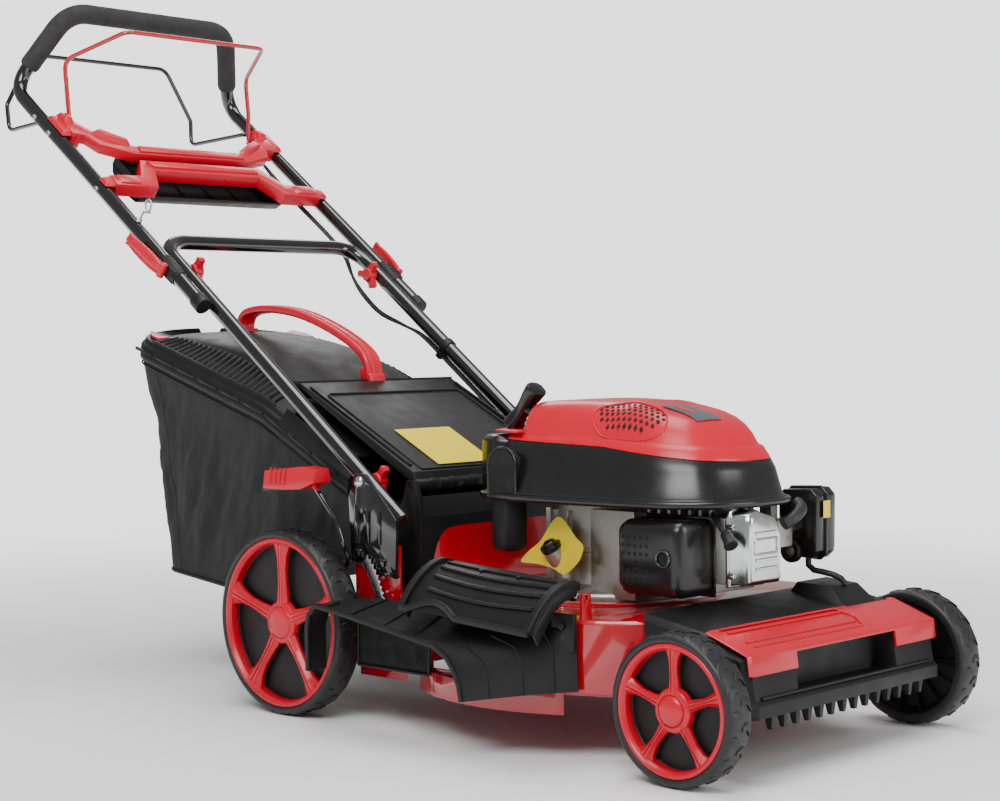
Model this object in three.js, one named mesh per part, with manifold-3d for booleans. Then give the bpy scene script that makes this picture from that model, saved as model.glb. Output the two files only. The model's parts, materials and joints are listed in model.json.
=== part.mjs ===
import * as THREE from 'three';
import { mergeVertices } from 'three/addons/utils/BufferGeometryUtils.js';
import { ConvexGeometry } from 'three/addons/geometries/ConvexGeometry.js';
import Module from 'manifold-3d';

// Walk-behind petrol lawn mower with a rear grass bag. Millimetres.
// +X is forward, +Y the operator's left, +Z up. While it is built, X = 0 is the front axle,
// Y = 0 the mid plane and Z = 0 the ground. The last lines move the origin to the middle of the base.

const wasm = await Module();
wasm.setup();

// ---- driving dimensions -------------------------------------------------------------------
const GAP = 0.3; // between pieces that touch
const RUNNING = 0.5; // radial clearance of turning pieces

const WHEELBASE = 750;
const FRONT_R = 97.5;
const REAR_R = 140;
const FRONT_WIDTH = 46;
const REAR_WIDTH = 48;
const FRONT_OUTER = 293; // outer face of a front wheel, from the mid plane
const REAR_OUTER = 298;
const AXLE_R = 8;
const CRANK_ARM = 45; // swing arm between an axle's pivot and its wheels
const CRANK_DROP = 15; // degrees below level at the highest cut
const ARM_THICK = 6;

const CRANK_X = -340; // engine shaft and blade
const SKIRT_R = 290;
const SKIRT_Z = 62;
const SKIRT_TOP = 95;
const DECK_TOP = 190;
const DECK_WALL = 3;
const DECK_HALF = 262;
const DECK_REAR_HALF = 213;
const DECK_REAR_X = -659;
const BLADE_R = 255;
const BLADE_Z = 79;

const EAR_HALF = 224; // outer face of the deck's rear ears
const BRACKET_THICK = 4;

const SLOPE = THREE.MathUtils.degToRad(36.8); // handle tubes above level
const BOLT_X = -635; // lower handle bolt
const BOLT_Z = 353;
const TUBE_R = 12.5;
const TUBE_WALL = 1.6;
const LOWER_HALF = 215; // lower tube centre from the mid plane
const FOLD_AT = 548; // fold bolt, along the tube from the lower bolt
const LOWER_TOP = 632; // cross tube of the lower handle
const UPPER_START = 452;
const UPPER_BEND = 1123;
const GRIP_RISE = 152; // crossbar above the tubes' line
const GRIP_AT = 1137;
const FOAM_R = 17.5;
const BOLT_R = 4;
const BRACKET_IN = LOWER_HALF + TUBE_R + RUNNING; // inner face of a handle bracket, outside the tube

const BAG_HALF = 196;
const BAG_WALL = 4;
const BAG_FRONT_X = -696;
const LID_HALF = 200;

const FLAP_X = -583; // rear flap's hinge
const FLAP_Z = 346;
const FLAP_HALF = 174;

// ---- helpers ------------------------------------------------------------------------------
const V = (x, y, z) => new THREE.Vector3(x, y, z);
const rad = THREE.MathUtils.degToRad;

// A closed geometry as a solid with its faces outwards.
function solid(geometry) {
  const bare = geometry.clone();
  for (const name of Object.keys(bare.attributes)) if (name !== 'position') bare.deleteAttribute(name);
  const merged = mergeVertices(bare, 1e-3);
  const points = merged.attributes.position.array;
  const index = Uint32Array.from(merged.index.array);
  const [a, b, c] = [V(), V(), V()];
  let volume = 0;
  for (let i = 0; i < index.length; i += 3) {
    [a, b, c].forEach((v, k) => v.fromArray(points, 3 * index[i + k]));
    volume += a.dot(b.clone().cross(c));
  }
  if (volume < 0) for (let i = 0; i < index.length; i += 3) [index[i], index[i + 1]] = [index[i + 1],
    index[i]];
  return new wasm.Manifold(new wasm.Mesh({ numProp: 3, vertProperties: Float32Array.from(points),
    triVerts: index }));
}
const join = (first, ...rest) => rest.reduce((sum, next) => sum.add(next), first);
const cut = (first, ...rest) => rest.reduce((sum, next) => sum.subtract(next), first);

const box = (x0, x1, y0, y1, z0, z1) => solid(
  new THREE.BoxGeometry(x1 - x0, y1 - y0, z1 - z0).translate((x0 + x1) / 2, (y0 + y1) / 2, (z0 + z1) / 2));
const hull = (...points) => solid(new ConvexGeometry(points.map((p) => V(...p))));

// A round bar between two points, and a cone where the second radius differs.
function rod(from, to, radius, sides = 12, endRadius = radius) {
  const a = V(...from);
  const way = V(...to).sub(a);
  const turn = new THREE.Quaternion().setFromUnitVectors(V(0, 1, 0), way.clone().normalize());
  const bar = new THREE.CylinderGeometry(endRadius, radius, way.length(), sides);
  return solid(bar.applyQuaternion(turn).translate(...a.addScaledVector(way, 0.5).toArray()));
}
const ball = (x, y, z, radius, sides = 12) => solid(
  new THREE.SphereGeometry(radius, sides, Math.max(4, sides / 2)).translate(x, y, z));

// Outlines pushed straight along one axis, with an optional bevel {height, inset} at both ends.
function prism(outline, low, high, axes, bevel) {
  const shape = new THREE.Shape(outline.map(([a, b]) => new THREE.Vector2(a, b)));
  const height = bevel ? bevel.height : 0;
  const geometry = new THREE.ExtrudeGeometry(shape, {
    depth: high - low - 2 * height,
    bevelEnabled: Boolean(bevel),
    bevelThickness: height,
    bevelSize: bevel ? bevel.inset : 0,
    bevelOffset: bevel ? -bevel.inset : 0,
    bevelSegments: bevel?.segments ?? 1,
  });
  geometry.translate(0, 0, low + height);
  return solid(geometry.applyMatrix4(new THREE.Matrix4().makeBasis(...axes)));
}
const prismX = (outline, low, high, bevel) => prism(outline, low, high,
  [V(0, 1, 0), V(0, 0, 1), V(1, 0, 0)], bevel);
const prismY = (outline, low, high, bevel) => prism(outline, -high, -low,
  [V(1, 0, 0), V(0, 0, 1), V(0, -1, 0)], bevel);
const prismZ = (outline, low, high, bevel) => prism(outline, low, high,
  [V(1, 0, 0), V(0, 1, 0), V(0, 0, 1)], bevel);

// A closed profile of [radius, height] turned about a line along Y or Z through a point.
function turned(profile, segments, [x, y, z], axis = 'z', start = 0) {
  const points = profile.map(([r, h]) => new THREE.Vector2(r, h));
  const geometry = new THREE.LatheGeometry([...points, points[0].clone()], segments, start);
  if (axis === 'z') geometry.rotateX(Math.PI / 2);
  return solid(geometry.translate(x, y, z));
}
const disc = (radius, low, high, [x, y], sides = 24) => rod([x, y, low], [x, y, high], radius, sides);
const pin = (x, z, radius, from, to, sides = 12) => rod([x, from, z], [x, to, z], radius, sides);

// A path with rounded corners; its steps fall exactly on the listed points.
class Route extends THREE.Curve {
  constructor(points) {
    super();
    this.points = points;
  }
  getPoint(t, target = V()) {
    const at = t * (this.points.length - 1);
    const i = Math.min(Math.floor(at), this.points.length - 2);
    return target.lerpVectors(this.points[i], this.points[i + 1], at - i);
  }
  getPointAt(u, target) {
    return this.getPoint(u, target);
  }
  getTangentAt(u, target = V()) {
    const i = Math.round(u * (this.points.length - 1));
    const before = this.points[Math.max(i - 1, 0)];
    const here = this.points[i];
    const after = this.points[Math.min(i + 1, this.points.length - 1)];
    const back = here.clone().sub(before).normalize();
    const on = after.clone().sub(here).normalize();
    return target.copy(back).add(on).normalize();
  }
}
function rounded(corners, radii, steps = 4) {
  const at = corners.map((c) => V(...c));
  const points = [at[0]];
  for (let i = 1; i < at.length - 1; i += 1) {
    const radius = Array.isArray(radii) ? radii[i - 1] : radii;
    const back = at[i - 1].clone().sub(at[i]).normalize();
    const on = at[i + 1].clone().sub(at[i]).normalize();
    const reach = radius / Math.tan(back.angleTo(on) / 2);
    const bend = new THREE.QuadraticBezierCurve3(
      at[i].clone().addScaledVector(back, reach), at[i], at[i].clone().addScaledVector(on, reach));
    points.push(...bend.getPoints(steps));
  }
  points.push(at[at.length - 1]);
  return points;
}
const ring = (radius, sides) => Array.from({ length: sides }, (_, i) => new THREE.Vector2(
  radius * Math.cos((2 * Math.PI * (i + 0.5)) / sides),
    radius * Math.sin((2 * Math.PI * (i + 0.5)) / sides)));
function sweep(points, radius, sides = 8, bore = 0) {
  const section = new THREE.Shape(ring(radius, sides));
  if (bore > 0) section.holes.push(new THREE.Path(ring(bore, sides)));
  const route = new Route(points);
  return solid(new THREE.ExtrudeGeometry(section, {
    extrudePath: route, steps: points.length - 1, bevelEnabled: false,
  }));
}

const plastic = { roughness: 0.55, metalness: 0 };
const finish = {
  red_paint: { color: 0xc4101c, roughness: 0.25, metalness: 0.1 },
  red_plastic: { color: 0xd0122a, roughness: 0.4, metalness: 0 },
  black_plastic: { color: 0x1b1b1c, ...plastic },
  black_paint: { color: 0x101011, roughness: 0.2, metalness: 0.3 },
  rubber: { color: 0x1a1a1a, roughness: 0.8, metalness: 0 },
  foam: { color: 0x232323, roughness: 0.95, metalness: 0 },
  fabric: { color: 0x161617, roughness: 0.95, metalness: 0 },
  aluminium: { color: 0xb9b5ac, roughness: 0.45, metalness: 0.9 },
  steel: { color: 0xb8bcc0, roughness: 0.25, metalness: 1 },
};
const mower = new THREE.Group();
const handle = new THREE.Group(); // its own X runs down the tubes, its Z stands up from them
handle.position.set(BOLT_X, 0, BOLT_Z);
handle.rotation.y = SLOPE;

function add(name, piece, look, group = mower) {
  const { numProp, vertProperties, triVerts } = piece.getMesh();
  const position = new Float32Array((vertProperties.length / numProp) * 3);
  for (let i = 0; i < position.length / 3; i += 1) {
    for (let k = 0; k < 3; k += 1) position[3 * i + k] = vertProperties[numProp * i + k];
  }
  const geometry = new THREE.BufferGeometry();
  geometry.setAttribute('position', new THREE.BufferAttribute(position, 3));
  geometry.setIndex(new THREE.BufferAttribute(Uint32Array.from(triVerts), 1));
  geometry.computeVertexNormals();
  const mesh = new THREE.Mesh(geometry, new THREE.MeshStandardMaterial(finish[look]));
  mesh.name = name;
  group.add(mesh);
}
const SIDES = [['right', -1], ['left', 1]];

// ---- wheels -------------------------------------------------------------------------------
const WHEEL_SIDES = 24;
const HUB_R = 22;
const TREAD = 13; // tyre thickness around the rim
const facet = Math.cos(Math.PI / WHEEL_SIDES); // keeps the flats, not the corners, at the radius

function wheel(name, x, radius, width, outer, side) {
  const half = width / 2;
  const lip = radius - TREAD; // outer edge of the coloured cover
  const r = (value) => value / facet;
  const profile = [
    [AXLE_R + RUNNING, 5 - half], [HUB_R, 5 - half], [HUB_R, -4], [r(lip - 8), -4], [r(lip - 4), -half],
    [r(radius - 5), -half], [r(radius), 6 - half], [r(radius), half - 6], [r(radius - 5), half],
    [r(lip + GAP), half], [r(lip + GAP), 4], [HUB_R, 4], [HUB_R, half - 14], [AXLE_R + RUNNING, half - 14],
  ];
  const y = side * (outer - half);
  const flip = side > 0 ? profile : profile.map(([a, h]) => [a, -h]);
  add(`wheel_${name}`, turned(flip, WHEEL_SIDES, [x, y, radius], 'y', Math.PI / WHEEL_SIDES), 'rubber');

  const face = (h0, h1) => [y + side * h0, y + side * h1].sort((a, b) => a - b);
  const band = [[r(lip - 9), 5], [r(lip), 5], [r(lip), half - 1], [r(lip - 6), half - 1]];
  const bandSide = side > 0 ? band : band.map(([a, h]) => [a, -h]);
  const rim = turned(bandSide, WHEEL_SIDES, [x, y, radius], 'y', Math.PI / WHEEL_SIDES);
  const spokes = [];
  for (let i = 0; i < 5; i += 1) {
    const turn = (2 * Math.PI * i) / 5 + Math.PI / 2;
    const along = V(Math.cos(turn), 0, Math.sin(turn));
    const across = V(-Math.sin(turn), 0, Math.cos(turn));
    const corners = [];
    for (const [reach, wide] of [[HUB_R - 6, 10], [lip - 5, 8]]) {
      for (const edge of [-1, 1]) {
        for (const h of face(half - 13, half - 4)) {
          const p = along.clone().multiplyScalar(reach).addScaledVector(across, edge * wide);
          corners.push([x + p.x, h, radius + p.z]);
        }
      }
    }
    spokes.push(hull(...corners));
  }
  const hub = rod([x, y + side * (half - 13), radius], [x, y + side * (half + 1), radius], HUB_R + 3, 20,
    12);
  add(`wheel_cap_${name}`, join(rim, ...spokes, hub), 'red_plastic');
}
for (const [name, side] of SIDES) {
  wheel(`front_${name}`, 0, FRONT_R, FRONT_WIDTH, FRONT_OUTER, side);
  wheel(`rear_${name}`, -WHEELBASE, REAR_R, REAR_WIDTH, REAR_OUTER, side);
}

// ---- axles and height adjustment ----------------------------------------------------------
const armX = CRANK_ARM * Math.cos(rad(CRANK_DROP));
const armZ = CRANK_ARM * Math.sin(rad(CRANK_DROP));
const FRONT_PIVOT = [-armX, FRONT_R + armZ];
const REAR_PIVOT = [armX - WHEELBASE, REAR_R + armZ];
const FRONT_ARM = FRONT_OUTER - FRONT_WIDTH - 5; // outer face of a swing arm
const REAR_ARM = REAR_OUTER - REAR_WIDTH - 10;

const arm = ([px, pz], wx, wz, y0, y1) => join(
  pin(px, pz, AXLE_R + 6, y0, y1, 16), pin(wx, wz, AXLE_R + 6, y0, y1, 16),
  prismY([[px - 2, pz - 11], [wx + 2, wz - 11], [wx + 2, wz + 11], [px - 2, pz + 11]], y0, y1));

let frontAxle = pin(...FRONT_PIVOT, AXLE_R, 1 - FRONT_ARM, FRONT_ARM - 1);
for (const [, side] of SIDES) {
  const [y0, y1] = [side * (FRONT_ARM - ARM_THICK), side * FRONT_ARM].sort((a, b) => a - b);
  const tip = side * (FRONT_OUTER - 15);
  frontAxle = join(frontAxle, arm(FRONT_PIVOT, 0, FRONT_R, y0, y1),
    pin(0, FRONT_R, AXLE_R, side * (FRONT_ARM - 3), tip));
}
add('front_axle', frontAxle, 'steel');

let rearAxle = pin(...REAR_PIVOT, AXLE_R, 1 - REAR_ARM, REAR_ARM - 1);
for (const [, side] of SIDES) {
  const [y0, y1] = [side * (REAR_ARM - ARM_THICK), side * REAR_ARM].sort((a, b) => a - b);
  rearAxle = join(rearAxle, arm(REAR_PIVOT, -WHEELBASE, REAR_R, y0, y1));
}
const shaftBore = pin(-WHEELBASE, REAR_R, AXLE_R + RUNNING, -REAR_ARM - 1, REAR_ARM + 1, 16);
add('rear_axle', cut(rearAxle, shaftBore), 'steel');
add('drive_shaft', pin(-WHEELBASE, REAR_R, AXLE_R, 15 - REAR_OUTER, REAR_OUTER - 15), 'steel');
const gearbox = join(
  prismY([[-WHEELBASE - 40, REAR_R - 34], [-WHEELBASE + 30, REAR_R - 34], [-WHEELBASE + 40, REAR_R + 20],
    [-WHEELBASE + 14, REAR_R + 44], [-WHEELBASE - 30, REAR_R + 40]], -42, 42, { height: 6, inset: 6 }),
  prismY([[-WHEELBASE, REAR_R - 10], [REAR_PIVOT[0] + 8, REAR_PIVOT[1] - 14],
    [REAR_PIVOT[0] + 14, REAR_PIVOT[1] + 14],
    [-WHEELBASE, REAR_R + 28]], -14, 14));
add('gearbox', cut(gearbox, shaftBore, pin(...REAR_PIVOT, AXLE_R + GAP, -60, 60, 16)), 'aluminium');

// The lever is fixed to the rear axle's pivot shaft, outside its right arm.
const LEVER_Y = -REAR_ARM - 4;
const LEVER_R = 3.5;
const leverRod = sweep(rounded([
  [REAR_PIVOT[0], LEVER_Y, REAR_PIVOT[1]], [REAR_PIVOT[0] + REAR_R * 0.43, LEVER_Y, REAR_R + 98],
  [REAR_PIVOT[0] + REAR_R * 0.44, LEVER_Y - 13, REAR_R + 122],
    [-WHEELBASE + REAR_R * 0.64, LEVER_Y - 15, REAR_R + 160],
  [-WHEELBASE + 34, LEVER_Y - 15, REAR_R + 216]], [20, 16, 16], 3), LEVER_R, 8);
const KNOB_Y = LEVER_Y - 15;
const knob = [];
for (const [x, z, h] of [[-WHEELBASE + 62, REAR_R + 222, 10], [-WHEELBASE + 30, REAR_R + 218, 17],
  [-WHEELBASE - 57, REAR_R + 211, 15]]) {
  for (const [dy, dz] of [[-17, -h], [17, -h], [-13, h], [13, h]]) knob.push([x, KNOB_Y + dy, z + dz]);
}
const leverHub = pin(...REAR_PIVOT, AXLE_R + 4, LEVER_Y - 3, LEVER_Y + 3.5, 16);
add('height_lever', join(leverRod, leverHub, hull(...knob)), 'red_plastic');

// Toothed quadrant on the right ear; its notches are centred on the lever's pivot.
const QUAD_IN = 112;
const QUAD_OUT = 132;
const QUAD_THICK = 3;
const QUAD_Y = -BRACKET_IN - BRACKET_THICK - 4;
const quadEdge = [];
for (let i = 0; i <= 16; i += 1) {
  const turn = rad(14 + 2 * i);
  const reach = i % 2 ? QUAD_OUT - 5 : QUAD_OUT;
  quadEdge.push([REAR_PIVOT[0] + reach * Math.cos(turn), REAR_PIVOT[1] + reach * Math.sin(turn)]);
}
for (let i = 4; i >= 0; i -= 1) {
  const turn = rad(14 + 8 * i);
  quadEdge.push([REAR_PIVOT[0] + QUAD_IN * Math.cos(turn), REAR_PIVOT[1] + QUAD_IN * Math.sin(turn)]);
}
// Two lugs seat on the ear, each drawn out to the band wherever the axle carries it.
const LUG_R = 6;
const EAR_LUGS = [[-593.36, 188.42, 18], [-602.45, 209.34, 29]];
const lugs = EAR_LUGS.map(([x, z, deg]) => {
  const band = [REAR_PIVOT[0] + (QUAD_IN + 7) * Math.cos(rad(deg)),
    REAR_PIVOT[1] + (QUAD_IN + 7) * Math.sin(rad(deg))];
  const ring = [];
  for (const [cx, cz] of [[x, z], band]) {
    for (let i = 0; i < 10; i += 1) {
      const turn = (Math.PI * i) / 5;
      for (const y of [QUAD_Y + 1, QUAD_Y + QUAD_THICK]) {
        ring.push([cx + LUG_R * Math.cos(turn), y, cz + LUG_R * Math.sin(turn)]);
      }
    }
  }
  return join(hull(...ring), pin(x, z, LUG_R, QUAD_Y + 1, -EAR_HALF - GAP, 10));
});
add('height_quadrant', join(prismY(quadEdge, QUAD_Y, QUAD_Y + QUAD_THICK), ...lugs), 'steel');

// ---- deck ---------------------------------------------------------------------------------
// The skirt is round about the blade and narrows to the rear tunnel.
function skirtOutline(grow) {
  const outline = [];
  const reach = SKIRT_R + grow;
  const rearHalf = DECK_REAR_HALF + grow;
  const frontHalf = 236 + grow;
  const join1 = Math.PI - Math.asin(rearHalf / reach);
  const join0 = Math.asin(frontHalf / reach);
  outline.push([DECK_REAR_X - grow, -rearHalf]);
  const arc = (from, to, count) => {
    for (let i = 0; i <= count; i += 1) {
      const turn = from + ((to - from) * i) / count;
      outline.push([CRANK_X + reach * Math.cos(turn), reach * Math.sin(turn)]);
    }
  };
  arc(-join1, -join0, 7);
  arc(-join0 + 0.18, join0 - 0.18, 8);
  arc(join0, join1, 7);
  outline.push([DECK_REAR_X - grow, rearHalf]);
  return outline;
}
function bodyOutline(grow) {
  const h = DECK_HALF + grow;
  const r = DECK_REAR_HALF + grow;
  const half = [[DECK_REAR_X - grow, r], [-566, r], [-508, h - 22], [-470, h], [-200, h], [-140, h - 26],
    [-104, 200 + grow],
    [-70, 130 + grow], [-58 + grow, 60]];
  return [...half, ...half.slice().reverse().map(([x, y]) => [x, -y])];
}
const noseSlope = (drop) => prismY([[-122, DECK_TOP + 0.2 - drop], [-30, 167 - drop], [-30, 240],
  [-122, 240]], -300, 300);
const deckOuter = cut(join(
  prismZ(skirtOutline(0), SKIRT_Z, SKIRT_TOP),
  prismZ(bodyOutline(0), SKIRT_TOP - 5, DECK_TOP, { height: 4, inset: 4 })), noseSlope(0));
const deckInner = cut(join(
  prismZ(skirtOutline(-DECK_WALL), SKIRT_Z - 20, SKIRT_TOP - DECK_WALL),
  prismZ(bodyOutline(-DECK_WALL - 2), SKIRT_Z, DECK_TOP - DECK_WALL)), noseSlope(5));
const PORT = { x0: -455, x1: -192, z0: SKIRT_TOP + 4, z1: DECK_TOP - 12 };
const TUNNEL_HALF = 150;
let deck = cut(deckOuter, deckInner,
  box(PORT.x0, PORT.x1, -DECK_HALF - 10, -DECK_HALF + 20, PORT.z0, PORT.z1),
  box(-648, -545, -TUNNEL_HALF, TUNNEL_HALF, DECK_TOP - 30, DECK_TOP + 10),
  disc(24, DECK_TOP - 20, DECK_TOP + 10, [CRANK_X, 0], 20));
const DOOR_Y = -238;
const DOOR_Z = 226;
const DOOR_X0 = -440;
const DOOR_X1 = -190;
const DOOR_TILT = rad(3.5); // the door's rear end sits higher
const doorAxisZ = (x) => DOOR_Z - (x - (DOOR_X0 + DOOR_X1) / 2) * Math.tan(DOOR_TILT);
for (const [, side] of SIDES) {
  const [y0, y1] = [side * (EAR_HALF - 4), side * EAR_HALF].sort((a, b) => a - b);
  const [f0, f1] = [side * (DECK_REAR_HALF - 4), side * EAR_HALF].sort((a, b) => a - b);
  deck = join(deck, box(-655, -558, y0, y1, DECK_TOP - 22, 262),
    box(-655, -558, f0, f1, DECK_TOP - 22, DECK_TOP - 10));
}
for (const x of [DOOR_X0 - 7, DOOR_X1 + 2]) {
  const z = doorAxisZ(x + 2.5);
  const ear = prismX([[DOOR_Y - 9, DECK_TOP - 4], [DOOR_Y + 12, DECK_TOP - 4], [DOOR_Y + 9, z + 6],
    [DOOR_Y - 7, z + 7]], x, x + 5);
  deck = join(deck, cut(ear, rod([x - 5, DOOR_Y, z], [x + 10, DOOR_Y, z], 3 + RUNNING, 12)));
}
for (const [, side] of SIDES) { // front axle's bearing plates
  const [y0, y1] = [side * 176, side * 182].sort((a, b) => a - b);
  const plate = prismY([[-112, 150], [-112, 100], [FRONT_PIVOT[0] - 14, FRONT_PIVOT[1] - 14],
    [FRONT_PIVOT[0] + 14, FRONT_PIVOT[1] - 14],
    [FRONT_PIVOT[0] + 14, FRONT_PIVOT[1] + 14], [FRONT_PIVOT[0], FRONT_PIVOT[1] + 30]], y0, y1);
  deck = join(deck, plate);
  const [r0, r1] = [side * (DECK_REAR_HALF - DECK_WALL - 8),
    side * (DECK_REAR_HALF - 1)].sort((a, b) => a - b);
  deck = join(deck, prismY([[DECK_REAR_X + 20, 100], [DECK_REAR_X + 20, DECK_TOP - 14],
    [REAR_PIVOT[0] - 6, REAR_PIVOT[1] + 18],
    [REAR_PIVOT[0] - 16, REAR_PIVOT[1] - 4], [REAR_PIVOT[0] - 6, REAR_PIVOT[1] - 18]], r0, r1));
}
deck = cut(deck, pin(...FRONT_PIVOT, AXLE_R + RUNNING, -230, 230, 16),
  pin(...REAR_PIVOT, AXLE_R + RUNNING, -230, 230, 16));
add('deck_shell', deck, 'red_paint');
const deckBlock = prismZ(bodyOutline(0.5), SKIRT_TOP - 10, DECK_TOP + GAP);
const skirtBlock = prismZ(skirtOutline(0.5), SKIRT_Z - 30, SKIRT_TOP + 0.5);

// ---- nose ---------------------------------------------------------------------------------
const NOSE_HALF = 218;
const noseOuter = prismY([[-108, 168], [-108, 202], [-2, 184], [26, 174], [61, 161], [70, 106], [76, 100],
  [76, 84], [60, 80], [-40, 80]],
  -NOSE_HALF, NOSE_HALF, { height: 10, inset: 8 });
const noseInner = prismY([[-120, 60], [-104, 196], [-2, 178], [24, 168], [30, 100], [56, 90], [56, 70]],
  6 - NOSE_HALF, NOSE_HALF - 6);
const WINDOW_HALF = 115;
const windowWall = box(30, 34, -WINDOW_HALF - 6, WINDOW_HALF + 6, 98, 166);
const windowCut = prismY([[34, 106], [34, 160], [58, 166], [90, 166], [90, 106]], -WINDOW_HALF,
  WINDOW_HALF);
const hump = hull([-104, 100, 190], [-104, 186, 190], [-88, 106, 214], [-88, 178, 214], [-34, 112, 210],
  [-34, 176, 210],
  [-4, 104, 178], [-4, 190, 178]);
let nose = cut(join(cut(join(noseOuter, hump), noseInner), windowWall), windowCut);
nose = cut(nose, deckBlock.subtract(noseSlope(-GAP)), skirtBlock,
  pin(...FRONT_PIVOT, AXLE_R + 4, -240, 240, 16),
  box(-130, -20, -170, 170, 60, DECK_TOP - 40));
const TEETH = 14;
for (let i = 0; i < TEETH; i += 1) {
  const y = -172 + (344 * i) / (TEETH - 1);
  nose = join(nose, hull([60, y - 5, 82], [60, y + 5, 82], [72, y - 5, 84], [72, y + 5, 84],
    [64, y - 3, 66], [64, y + 3, 66],
    [70, y - 3, 66], [70, y + 3, 66]));
}
const plateClear = join(...SIDES.map(([, side]) => box(-116, FRONT_PIVOT[0] + 16, side * 179 - 4,
  side * 179 + 4, 60, 172)));
nose = cut(nose, plateClear);
add('nose_cover', nose, 'black_plastic');
const trimBand = prismY([[-2, 184 + GAP], [26.1, 174 + GAP], [61.4, 161.2], [66, 136], [70, 137],
  [66.4, 164], [28, 178.6], [-2, 188.6]],
  -NOSE_HALF, NOSE_HALF, { height: 10, inset: 1.6 });
const trim = cut(trimBand, noseOuter.add(hump),
  prismY([[50, 120], [50, 158], [90, 158], [90, 120]], -WINDOW_HALF, WINDOW_HALF),
  hull([-14, 90, 170], [-14, 200, 170], [2, 96, 170], [2, 198, 170], [-14, 90, 200], [-14, 200, 200],
    [2, 96, 200], [2, 198, 200]));
add('nose_trim', trim, 'red_plastic');

// ---- rear tunnel, flap, brackets ------------------------------------------------------------
const TUNNEL_OUT = 178;
const tunnel = cut(
  prismY([[-690, DECK_TOP + 6], [-560, DECK_TOP + GAP], [-560, 296], [-574, 330], [-600, 318], [-664, 318],
    [-690, 296]],
    -TUNNEL_OUT, TUNNEL_OUT),
  prismY([[-648, DECK_TOP - 10], [-576, DECK_TOP - 10], [-576, 286], [-610, 308], [-700, 308], [-700, 210],
    [-676, 210]],
    -TUNNEL_HALF, TUNNEL_HALF),
  pin(FLAP_X, FLAP_Z, 13, -FLAP_HALF + 6, FLAP_HALF - 6, 16));
const flapEars = SIDES.map(([, side]) => {
  const [y0, y1] = [side * (FLAP_HALF - 4), side * TUNNEL_OUT].sort((a, b) => a - b);
  return cut(prismY([[-604, 312], [-562, 296], [-562, 322], [FLAP_X + 8, FLAP_Z + 8],
    [FLAP_X - 8, FLAP_Z + 8]], y0, y1),
    pin(FLAP_X, FLAP_Z, 4 + RUNNING, y0 - 1, y1 + 1));
});
add('rear_tunnel', join(tunnel, ...flapEars), 'black_plastic');

const FLAP_END = [-842, 489];
const flapPlate = prismY([[FLAP_X - 6, FLAP_Z + 4], [FLAP_X + 2, FLAP_Z + 7], [FLAP_X - 2, FLAP_Z + 20],
  [FLAP_END[0], FLAP_END[1] + 8],
  [FLAP_END[0] - 2, FLAP_END[1] + 2]], 5 - FLAP_HALF, FLAP_HALF - 5);
const flap = join(flapPlate, pin(FLAP_X, FLAP_Z, 9, 5 - FLAP_HALF, FLAP_HALF - 5, 14),
  pin(FLAP_X, FLAP_Z, 4, 1 - TUNNEL_OUT, TUNNEL_OUT - 1));
add('rear_flap', flap, 'black_plastic');

for (const [name, side] of SIDES) {
  const order = (a, b) => [side * a, side * b].sort((p, q) => p - q);
  const outer = BRACKET_IN;
  const plate = prismY([[-655, 236], [-620, 226], [-560, 214], [-556, 300], [-600, 344],
    [BOLT_X + 14, BOLT_Z + 12],
    [BOLT_X - 10, BOLT_Z + 14], [-660, 330]], ...order(outer, outer + BRACKET_THICK));
  const pad = prismY([[-655, 236], [-620, 226], [-560, 214], [-560, 258], [-655, 258]],
    ...order(EAR_HALF + GAP, outer + 1));
  const ribs = [-640, -616, -592].map((x) => box(x - 3, x + 3, ...order(outer + 3, outer + 7), 262, 312));
  const heads = [[-639, 247], [-586, 236]].map(([x, z]) => pin(x, z, 8, ...order(outer + 3, outer + 9), 6));
  add(`handle_bracket_${name}`, cut(join(plate, pad, ...ribs, ...heads),
    pin(BOLT_X, BOLT_Z, BOLT_R + GAP, ...order(180, 260))), 'black_paint');
}

// ---- side chute and door ----------------------------------------------------------------
const CHUTE_OUT = -340;
const wallY = -DECK_HALF - GAP - 0.2;
const CHUTE_WALL = 3.5;
function chuteForm(shrink, top, mouth, port) {
  const s = shrink;
  const floor = shrink ? 40 : 86;
  const rear = hull([-631 + s, mouth, floor], [-631 + s, mouth, 170 - top],
    [-610 + s / 2, mouth, 185 - top], [-372, mouth, 149 - top],
    [-372, mouth, floor], [-625 + s, wallY - s, floor], [-625 + s, wallY - s, 186 - top],
      [-372, wallY - s, 187 - top], [-372, wallY - s, floor]);
  const front = hull([-372, mouth, 149 - top], [-372, mouth, floor], [-330 - s / 2, mouth, 120 - top],
    [-317 - s, mouth, 80 - (shrink ? 40 : 0)],
    [-372, port, 187 - top], [-372, port, floor], [-175 - s, port, 184 - top],
      [-175 - s, port, shrink ? 60 : 98]);
  const bridge = hull([-372, mouth, 149 - top], [-372, mouth, floor], [PORT.x0, mouth, 161.3 - top],
    [PORT.x0, mouth, floor],
    [-372, port, 187 - top], [-372, port, floor], [PORT.x0, port, 186.7 - top], [PORT.x0, port, floor]);
  return join(rear, front, bridge);
}
const wheelMoves = [[-WHEELBASE, REAR_R], [REAR_PIVOT[0] - CRANK_ARM * Math.cos(rad(23)),
  REAR_PIVOT[1] + CRANK_ARM * Math.sin(rad(23))]];
const wheelClear = join(...wheelMoves.map(([x, z]) => pin(x, z, (REAR_R + 6) / facet, -REAR_OUTER - 8,
  -REAR_OUTER + 60, WHEEL_SIDES)),
  box(-660, -600, -REAR_OUTER - 8, -REAR_OUTER + 60, 50, 230));
const chute = cut(chuteForm(0, 0, CHUTE_OUT, wallY),
  chuteForm(CHUTE_WALL, CHUTE_WALL, CHUTE_OUT - 4, wallY + 4), wheelClear, skirtBlock,
  deckBlock);
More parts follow.
